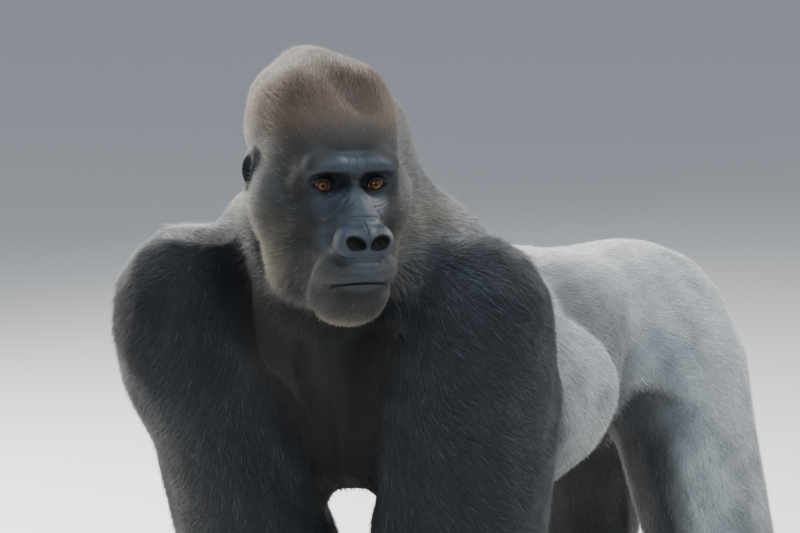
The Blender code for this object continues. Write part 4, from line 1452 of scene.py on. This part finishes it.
class Roots:
    """Where tufts grow: places on the skin with all that the skin knows there."""

    def __init__(self, mesh, chosen, thickness, draw):
        points = coordinates(mesh)
        corners, loops = triangles_of(mesh)
        growth = read(mesh, "growth")
        a, b, c = (points[corners[:, index]] for index in range(3))
        area = np.linalg.norm(np.cross(b - a, c - a), axis=1) / 2
        amount = area * PER_SQUARE_METRE * growth[corners].mean(1)
        total = np.cumsum(amount * chosen[corners].mean(1) * thickness)
        count = int(total[-1])
        steps = (np.arange(count) + draw.uniform(0, 1, count)) / count * total[-1]
        picked = np.searchsorted(total, steps)
        share = np.sqrt(draw.uniform(0, 1, count))
        other = draw.uniform(0, 1, count)
        self.shares = np.stack([1 - share, share * (1 - other), share * other], axis=1)
        self.corners = corners[picked]
        self.place = self.blend(points)
        self.bake = (bake_places(mesh)[loops[picked]] * self.shares[:, :, None]).sum(1)
        self.normal = unit(self.blend(vertex_normals(mesh)))
        self.count = count

    def blend(self, values):
        """What the skin's vertices hold, taken at the roots."""
        at_corners = values[self.corners]
        if values.ndim == 1:
            return (at_corners * self.shares).sum(1)
        return (at_corners * self.shares[:, :, None]).sum(1)


def spikes(roots, chosen, lie, length, width, rise, bent, draw):
    """Corners, faces and lock places of three-sided tapering tufts, straight or bowed."""
    normal, place, lie = roots.normal[chosen], roots.place[chosen], lie[chosen]
    length, width = length[chosen, None], width[chosen, None] / 2
    rise = np.radians(rise[chosen, None])
    count = len(normal)
    lie = unit(lie - (lie * normal).sum(1, keepdims=True) * normal)
    side = np.cross(normal, lie)
    swing = draw.normal(0, SWING, (count, 1))
    ahead = lie * np.cos(swing) + side * np.sin(swing)
    side = np.cross(normal, ahead)
    root = place - normal * ROOT_DEPTH
    ring = [root - side * width, root + side * width, root + normal * width * 0.9]
    if not bent:
        corners = [*ring, root + (ahead * np.cos(rise) + normal * np.sin(rise)) * length]
        faces, lock = STRAIGHT_FACES, STRAIGHT_LOCK
    else:
        first = ahead * np.cos(rise * 1.3) + normal * np.sin(rise * 1.3)
        bow = draw.normal(0, BOW, (count, 1))
        second = unit(ahead * np.cos(rise * 0.6) + normal * np.sin(rise * 0.6) + side * bow)
        middle = root + first * length * 0.5
        waist = [middle - side * width * 0.9, middle + side * width * 0.9]
        waist.append(middle + normal * width * 0.8)
        corners = [*ring, *waist, middle + second * length * 0.5]
        faces, lock = BOWED_FACES, BOWED_LOCK
    corners = np.stack(corners, axis=1)
    corners[:, :, 2] = np.maximum(corners[:, :, 2], FLOOR_GAP)
    size = corners.shape[1]
    faces = np.arange(count)[:, None, None] * size + np.array(faces)
    owner = np.repeat(np.flatnonzero(chosen), size)
    return corners.reshape(-1, 3), faces.reshape(-1, 3), np.tile(lock, (count, 1)), owner


def tuft_mesh(name, roots, lie, length, width, rise, colour, strand, bent, draw):
    """All the tufts of one piece of the coat in one mesh."""
    straight = spikes(roots, ~bent, lie, length, width, rise, False, draw)
    bowed = spikes(roots, bent, lie, length, width, rise, True, draw)
    corners, _, lock, owner = (np.concatenate(pair) for pair in zip(straight, bowed))
    faces = np.concatenate([straight[1], bowed[1] + len(straight[0])])
    loops = faces.ravel()
    mesh = bpy.data.meshes.new(name)
    mesh.vertices.add(len(corners))
    mesh.loops.add(len(loops))
    mesh.polygons.add(len(faces))
    mesh.vertices.foreach_set("co", corners.astype(np.float32).ravel())
    mesh.loops.foreach_set("vertex_index", loops.astype(np.int32))
    mesh.polygons.foreach_set("loop_start", (np.arange(len(faces)) * 3).astype(np.int32))
    mesh.update(calc_edges=True)
    mesh.shade_smooth()
    patch = roots.bake[owner] + BAKE_PATCH / 2 * (2.0 * lock - 1.0)
    for title, values in (("OFBake", patch), ("lock", lock)):
        layer = mesh.uv_layers.new(name=title)
        layer.data.foreach_set("uv", values[loops].astype(np.float32).ravel())
    store(mesh, "coat colour", "FLOAT_COLOR", colour[owner])
    store(mesh, "strand", "FLOAT", strand[owner])
    shading = unit(vertex_normals(mesh) * 0.45 + roots.normal[owner])
    mesh.normals_split_custom_set_from_vertices(shading.astype(np.float32))
    return mesh


def grow(name, kinds, material, settings, seed, keep):
    """Grows one piece of the coat on the given parts of the body."""
    mesh = bpy.data.objects["skin"].data
    draw = np.random.default_rng(settings.seed * 100 + seed)
    owner = part_columns(mesh).argmax(1)
    chosen = np.isin(owner, [KINDS.index(kind) for kind in kinds]).astype(float)
    if keep:
        chosen *= keep(coordinates(mesh))
    roots = Roots(mesh, chosen, settings.thickness, draw)
    length, width, rise = roots.blend(read(mesh, "hair")).T
    grown = 1.0 - 0.55 * roots.blend(read(mesh, "bare"))
    length = length * settings.length * grown * draw.uniform(*LENGTH_RANGE, roots.count)
    width = width * grown * draw.uniform(*WIDTH_RANGE, roots.count)
    rise = rise * draw.uniform(*RISE_RANGE, roots.count)
    bent = draw.uniform(0, 1, roots.count) < settings.locks
    length = np.where(bent, length * 1.15, length)
    stray = draw.uniform(0, 1, roots.count) < STRAYS
    rise = np.where(stray, rise * 1.9, rise)
    width = np.where(stray, width * 0.6, width)
    lie = roots.blend(read(mesh, "lie"))
    lie = lie + np.cross(roots.normal, lie) * 0.30 * wander(roots.place, 0.05, seed)[:, None]
    tone = draw.normal(1.0, 0.20, (roots.count, 1))
    tone = tone + 0.10 * wander(roots.place, 0.02, seed + 1)[:, None]
    colour = roots.blend(read(mesh, "coat colour"))[:, :3]
    # Pale tufts: grizzled hairs, and on dark hair far paler ones as painted glints
    grizzled_and_glints = draw.uniform(0, 1, (roots.count, 1)) < GRIZZLED_AND_GLINTS
    paler = np.where(colour.mean(1, keepdims=True) < DARK_HAIR, 3.0, 1.3)
    tone = np.where(grizzled_and_glints, tone * paler, tone)
    colour = np.clip(colour * np.clip(tone, 0.5, 3.4), 0.0, 0.9)
    strand = draw.uniform(0, 1, roots.count)
    made = tuft_mesh(name, roots, lie, length, width, rise, colour, strand, bent, draw)
    made.materials.append(material)
    piece = add_object(name, made)
    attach(piece, "root")


def left_side(points):
    """Which places are left of the middle of the body."""
    return points[:, 0] > MIDDLE_PLANE


def right_side(points):
    """Which are right of it."""
    return points[:, 0] <= MIDDLE_PLANE


def face_part(points):
    """Which places of the head are on its face."""
    return in_frame(HEAD, points)[:, 1] < FACE_DEPTH


def crown_part(points):
    """Which are behind it."""
    return in_frame(HEAD, points)[:, 1] >= FACE_DEPTH


# Roughness, sheen and gloss of each kind of hair
COAT_LOOKS = {
    "coat brown": (0.62, 0.03, 0.25),
    "coat black": (0.60, 0.0, 0.15),
    "coat dark": (0.50, 0.06, 0.35),
    "coat silver": (0.66, 0.20, 0.35),
}
ARM, LEG = ["upper_arm"], ["thigh", "shin", "foot"]

# Name, parts of the body, slot, kind of hair, and which places on the parts
COAT_PIECES = (
    ("coat_face", ["head"], "coat_brown", "coat brown", face_part),
    ("coat_crown", ["head"], "coat_brown", "coat brown", crown_part),
    ("coat_neck", ["neck"], "coat_dark", "coat dark", None),
    ("coat_chest", ["chest"], "coat_dark", "coat black", None),
    ("coat_belly", ["belly"], "coat_silver", "coat silver", None),
    ("coat_rump", ["pelvis"], "coat_silver", "coat silver", None),
    ("coat_arm_left", ARM, "coat_dark", "coat dark", left_side),
    ("coat_arm_right", ARM, "coat_dark", "coat dark", right_side),
    ("coat_forearms", ["forearm", "hand"], "coat_dark", "coat dark", None),
    ("coat_leg_left", LEG, "coat_silver", "coat silver", left_side),
    ("coat_leg_right", LEG, "coat_silver", "coat silver", right_side),
)


# ---------------------------------------------------------------- operators


class GORILLA_OT_skin(bpy.types.Operator):
    """Lay one skin inside the solids, with its folds, lids, nostrils and ears"""

    bl_idname = "gorilla.skin"
    bl_label = "Skin"

    def execute(self, context):
        mesh = make_skin(context.scene.gorilla_skin)
        mesh.name = "skin"
        points, normals = coordinates(mesh), vertex_normals(mesh)
        weights = part_columns(mesh)
        bare = bareness(points, normals, weights)
        shape = coat_shape(points, normals, weights)
        lie = lie_of_coat(points, normals, weights, neighbour_table(mesh))
        colour = coat_colours(context.scene.gorilla_coat, points, normals, weights)
        store(mesh, "bare", "FLOAT", bare)
        store(mesh, "hair", "FLOAT_VECTOR", shape[:, 1:4])
        store(mesh, "growth", "FLOAT", shape[:, 4] * (bare < 0.9) * (1.0 - 0.3 * bare))
        store(mesh, "lie", "FLOAT_VECTOR", lie)
        store(mesh, "rest", "FLOAT_VECTOR", points)
        store(mesh, "hollow", "FLOAT", painted_shade_and_dark_skin(points, read(mesh, "sunk")))
        store(mesh, "coat colour", "FLOAT_COLOR", colour)
        mesh.shade_smooth()
        mesh.materials.append(skin_material(context.scene.gorilla_skin))
        piece = add_object("skin", mesh)
        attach(piece, "root")
        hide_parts(*flesh_nodes())
        return {"FINISHED"}


class GORILLA_OT_coat(bpy.types.Operator):
    """Grow the coat in tufts that follow the lie of the hair"""

    bl_idname = "gorilla.coat"
    bl_label = "Coat"

    def execute(self, context):
        made = {name: coat_material(name, *looks) for name, looks in COAT_LOOKS.items()}
        for seed, (name, kinds, slot, material, keep) in enumerate(COAT_PIECES):
            grow(name, kinds, made[material], context.scene.gorilla_coat, seed, keep)
        return {"FINISHED"}


class GORILLA_OT_eyes(bpy.types.Operator):
    """Make the two eyeballs, each with a bulging cornea over a ringed iris"""

    bl_idname = "gorilla.eyes"
    bl_label = "Eyes"

    def execute(self, context):
        settings = context.scene.gorilla_eyes
        for name in SIDES:
            make_eye(settings, name)
        return {"FINISHED"}


class GORILLA_OT_nails(bpy.types.Operator):
    """Make the nails of fingers and toes"""

    bl_idname = "gorilla.nails"
    bl_label = "Nails"

    def execute(self, context):
        material = nail_material(context.scene.gorilla_nails)
        for name in SIDES:
            make_nails(f"nails_hand_{name}", hand_ends(name), material)
            make_nails(f"nails_foot_{name}", foot_ends(name), material)
        return {"FINISHED"}


class GORILLA_OT_stage(bpy.types.Operator):
    """Lay the floor, hang the lights and set up the camera"""

    bl_idname = "gorilla.stage"
    bl_label = "Stage"

    def execute(self, context):
        make_stage(context.scene.gorilla_stage)
        return {"FINISHED"}


def eye_material(settings, name):
    """White, dark rim, fibred iris and pupil, told by how far off the gaze a place is."""
    made, nodes, surface = new_material(f"eye {name}")
    place = nodes.attribute("eye place", "Vector")
    split = nodes.add("SeparateXYZ", {0: place})
    x, z = split.outputs[0], split.outputs[2]
    flat = nodes.add("CombineXYZ", {0: x, 1: z}).outputs[0]
    ring = nodes.add("VectorMath", {0: flat}, operation="LENGTH").outputs["Value"]
    turn = nodes.maths("ARCTAN2", z, x)
    inputs = {0: nodes.maths("MULTIPLY", turn, 9.0), 1: nodes.maths("MULTIPLY", ring, 120.0)}
    fibres = nodes.noise(nodes.add("CombineXYZ", inputs).outputs[0], 1.6, 3.0)
    iris = nodes.scaled(tuple(settings.iris), nodes.ramp(fibres, 0.3, 0.7, 0.45, 1.7))
    iris = nodes.mix(nodes.ramp(ring, 0.0042, IRIS_EDGE), iris, RIM_BLACK)
    iris = nodes.mix(nodes.ramp(ring, 0.0026, 0.0030), PUPIL_BLACK, iris)
    veins = nodes.ramp(nodes.noise(place, 260.0, 3.0), 0.4, 0.7)
    ball = nodes.mix(veins, rgba(settings.white), EYE_VEINS)
    inputs = {
        "Base Color": nodes.mix(nodes.ramp(ring, IRIS_EDGE, 0.0080), iris, ball),
        "Roughness": 0.08,
        "Specular IOR Level": 0.15,
        "Coat Weight": 0.45,
        "Coat Roughness": 0.02,
    }
    nodes.feed(surface, inputs)
    return made


def make_eye(settings, name):
    """A ball with a bulging cornea, turned to where the animal looks."""
    centre = HEAD @ Vector((SIDES[name] * EYE_HALF, EYE_DEPTH, 0.0))
    gaze = HEAD.to_3x3() @ Vector((-0.10, -1.0, -0.02)).normalized()
    turn = gaze.to_track_quat("-Y", "Z").to_matrix().to_4x4()
    upright = Matrix.Rotation(math.pi / 2, 4, "X")
    bm = bmesh.new()
    bmesh.ops.create_uvsphere(
        bm, u_segments=64, v_segments=40, radius=EYE_RADIUS, matrix=upright
    )
    for vertex in bm.verts:
        ring = math.hypot(vertex.co.x, vertex.co.z)
        if vertex.co.y < 0:
            vertex.co.y -= CORNEA_RISE * max(0.0, 1.0 - (ring / CORNEA_RADIUS) ** 2)
    mesh = bpy.data.meshes.new(f"eyeball_{name}")
    bm.to_mesh(mesh)
    bm.free()
    store(mesh, "eye place", "FLOAT_VECTOR", coordinates(mesh))
    mesh.transform(Matrix.Translation(centre) @ turn)
    mesh.shade_smooth()
    mesh.materials.append(eye_material(settings, name))
    piece = add_object(f"eyeball_{name}", mesh)
    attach(piece, "root")
    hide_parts(f"eye_{name}")


def nail_shell(bm, tip, ahead, out, radius, lift):
    """The vertices of one side of a nail, row by row from its root."""
    side = ahead.cross(out)
    rows = []
    for step in range(NAIL_ROWS):
        share = step / (NAIL_ROWS - 1)
        reach = radius * (-0.55 + 1.45 * share)
        narrow = math.sqrt(max(0.0, 1.0 - max(0.0, (share - 0.62) / 0.42) ** 2))
        drop = 0.16 * radius * max(0.0, share - 0.45) ** 2 / 0.3
        far = radius + lift - drop
        row = []
        for place in range(NAIL_COLUMNS):
            angle = NAIL_TURN * (2.0 * place / (NAIL_COLUMNS - 1) - 1.0) * narrow
            beside = side * far * math.sin(angle)
            row.append(bm.verts.new(tip + ahead * reach + out * far * math.cos(angle) + beside))
        rows.append(row)
    return rows


def close_plate(bm, top, under):
    """Faces over the two sides of a plate and round its rim."""
    last_row, last = len(top) - 1, len(top[0]) - 1
    for i in range(last_row):
        for j in range(last):
            bm.faces.new((top[i][j], top[i][j + 1], top[i + 1][j + 1], top[i + 1][j]))
            bm.faces.new((under[i][j], under[i + 1][j], under[i + 1][j + 1], under[i][j + 1]))
    rim = [(i, 0) for i in range(last_row)] + [(last_row, j) for j in range(last)]
    rim += [(i, last) for i in range(last_row, 0, -1)] + [(0, j) for j in range(last, 0, -1)]
    for (a, b), (c, d) in zip(rim, rim[1:] + rim[:1]):
        bm.faces.new((top[a][b], top[c][d], under[c][d], under[a][b]))


def make_nails(name, ends, material):
    """Curved plates bedded in the ends of the digits."""
    bm = bmesh.new()
    for end in ends:
        top, under = (nail_shell(bm, *placed_end(end), lift) for lift in NAIL_LIFTS)
        close_plate(bm, top, under)
    bmesh.ops.recalc_face_normals(bm, faces=bm.faces)
    mesh = bpy.data.meshes.new(name)
    bm.to_mesh(mesh)
    bm.free()
    mesh.shade_smooth()
    mesh.materials.append(material)
    piece = add_object(name, mesh)
    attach(piece, "root")


def nail_material(settings):
    """Dark horn with fine ridges."""
    made, nodes, surface = new_material("nail horn")
    place = nodes.add("TexCoord").outputs["Object"]
    fine, large = nodes.noise(place, 420.0, 3.0), nodes.noise(place, 60.0, 2.0)
    tone = nodes.mix(nodes.ramp(large, 0.35, 0.7), rgba(settings.horn), WORN_HORN)
    rough = nodes.ramp(fine, 0.3, 0.7, 0.32, 0.5)
    inputs = {"Base Color": tone, "Roughness": rough, "Normal": nodes.bump(fine, 0.4, 0.0004)}
    nodes.feed(surface, inputs)
    return made


def area_light(name, place, aim, size, energy, colour):
    """A round soft lamp turned to a place."""
    data = bpy.data.lights.new(name, "AREA")
    data.shape, data.size, data.energy, data.color = "DISK", size, energy, colour
    lamp = bpy.data.objects.new(name, data)
    bpy.context.scene.collection.objects.link(lamp)
    lamp.location = place
    lamp.rotation_euler = (aim - place).to_track_quat("-Z", "Y").to_euler()


# Name, how far before, right of and above the animal, size, strength and colour
SUNLIGHT, SKYLIGHT = (1.0, 0.96, 0.90), (0.78, 0.90, 1.0)
LIGHTS = (
    ("sun", (-2.3, -1.0, 2.3), 1.0, 210.0, SUNLIGHT),
    ("behind right", (-1.5, 2.2, 1.6), 1.0, 80.0, SUNLIGHT),
    ("sky", (1.8, 0.9, 2.9), 1.6, 120.0, SKYLIGHT),
    ("left", (-1.7, -2.3, 1.0), 2.4, 190.0, SUNLIGHT),
    ("catch", (3.0, -0.6, 0.9), 0.22, 9.0, SKYLIGHT),
)
AIM, EYES_TO_TARGET = Vector((0.0, 0.0, 0.8)), Vector((-0.0685, 0.2042, -0.144))
AIR_COLOUR, AIR_STRENGTH = (0.74, 0.83, 0.97, 1.0), 0.42


def make_floor(settings):
    """A wide pale floor just under the animal."""
    bm = bmesh.new()
    bmesh.ops.create_grid(bm, x_segments=8, y_segments=8, size=60.0)
    mesh = bpy.data.meshes.new("floor")
    bm.to_mesh(mesh)
    bm.free()
    made, nodes, surface = new_material("floor")
    cloudy = nodes.add("TexNoise", {"Scale": 3.0, "Detail": 4.0}).outputs["Fac"]
    share = nodes.ramp(cloudy, 0.3, 0.7, 0.0, 0.3)
    tone = nodes.mix(share, rgba(settings.floor), rgba(settings.floor, 0.9))
    nodes.feed(surface, {"Base Color": tone, "Roughness": 0.8})
    mesh.materials.append(made)
    floor = add_object("floor", mesh)
    floor.location = (0.0, 0.0, -0.0005)


def make_stage(settings):
    """The floor, the lights round the animal and the camera at its front left."""
    make_floor(settings)
    scene = bpy.context.scene
    world = bpy.data.worlds.new("studio")
    world.use_nodes = True
    air = world.node_tree.nodes["Background"].inputs
    air[0].default_value, air[1].default_value = AIR_COLOUR, AIR_STRENGTH
    scene.world = world
    azimuth, elevation = settings.azimuth, settings.elevation
    right = Vector((math.cos(azimuth), math.sin(azimuth), 0.0))
    flat = math.cos(elevation)
    back = Vector((math.sin(azimuth) * flat, -math.cos(azimuth) * flat, math.sin(elevation)))
    level = Vector((back.x, back.y, 0.0)).normalized()
    for name, (ahead, beside, up), size, energy, colour in LIGHTS:
        place = AIM + level * ahead + right * beside + Vector((0, 0, up))
        area_light(name, place, AIM, size, energy, colour)
    camera = bpy.data.objects.new("camera", bpy.data.cameras.new("camera"))
    scene.collection.objects.link(camera)
    target = (middle_of("eye_left") + middle_of("eye_right")) / 2 + EYES_TO_TARGET
    camera.location = target + back * settings.distance
    camera.rotation_mode = "QUATERNION"
    camera.rotation_quaternion = (-back).to_track_quat("-Z", "Y")
    camera.data.sensor_width = 36.0
    camera.data.lens = settings.distance / settings.width * camera.data.sensor_width
    camera.data.clip_end = 100.0
    scene.camera = camera


class GORILLA_PT_panel(bpy.types.Panel):
    """The pieces of the gorilla, in the order in which they are made"""

    bl_label = "Gorilla"
    bl_space_type = "VIEW_3D"
    bl_region_type = "UI"
    bl_category = "Gorilla"

    def draw(self, context):
        for piece in ("skin", "eyes", "nails", "coat", "stage"):
            box = self.layout.box()
            settings = getattr(context.scene, f"gorilla_{piece}")
            for name in settings.__annotations__:
                box.prop(settings, name)
            box.operator(f"gorilla.{piece}")


SETTINGS = {
    "gorilla_skin": SkinSettings,
    "gorilla_eyes": EyeSettings,
    "gorilla_nails": NailSettings,
    "gorilla_coat": CoatSettings,
    "gorilla_stage": StageSettings,
}
OPERATORS = (GORILLA_OT_skin, GORILLA_OT_eyes, GORILLA_OT_nails, GORILLA_OT_coat, GORILLA_OT_stage)


def register():
    for made in (*SETTINGS.values(), *OPERATORS, GORILLA_PT_panel):
        bpy.utils.register_class(made)
    for name, made in SETTINGS.items():
        setattr(bpy.types.Scene, name, PointerProperty(type=made))


def unregister():
    for name in SETTINGS:
        delattr(bpy.types.Scene, name)
    for made in (GORILLA_PT_panel, *reversed(OPERATORS), *reversed(SETTINGS.values())):
        bpy.utils.unregister_class(made)


def main():
    """Makes every piece in order."""
    register()
    bpy.ops.gorilla.stage()
    bpy.ops.gorilla.skin()
    bpy.ops.gorilla.eyes()
    bpy.ops.gorilla.nails()
    bpy.ops.gorilla.coat()


if __name__ == "__main__":
    main()
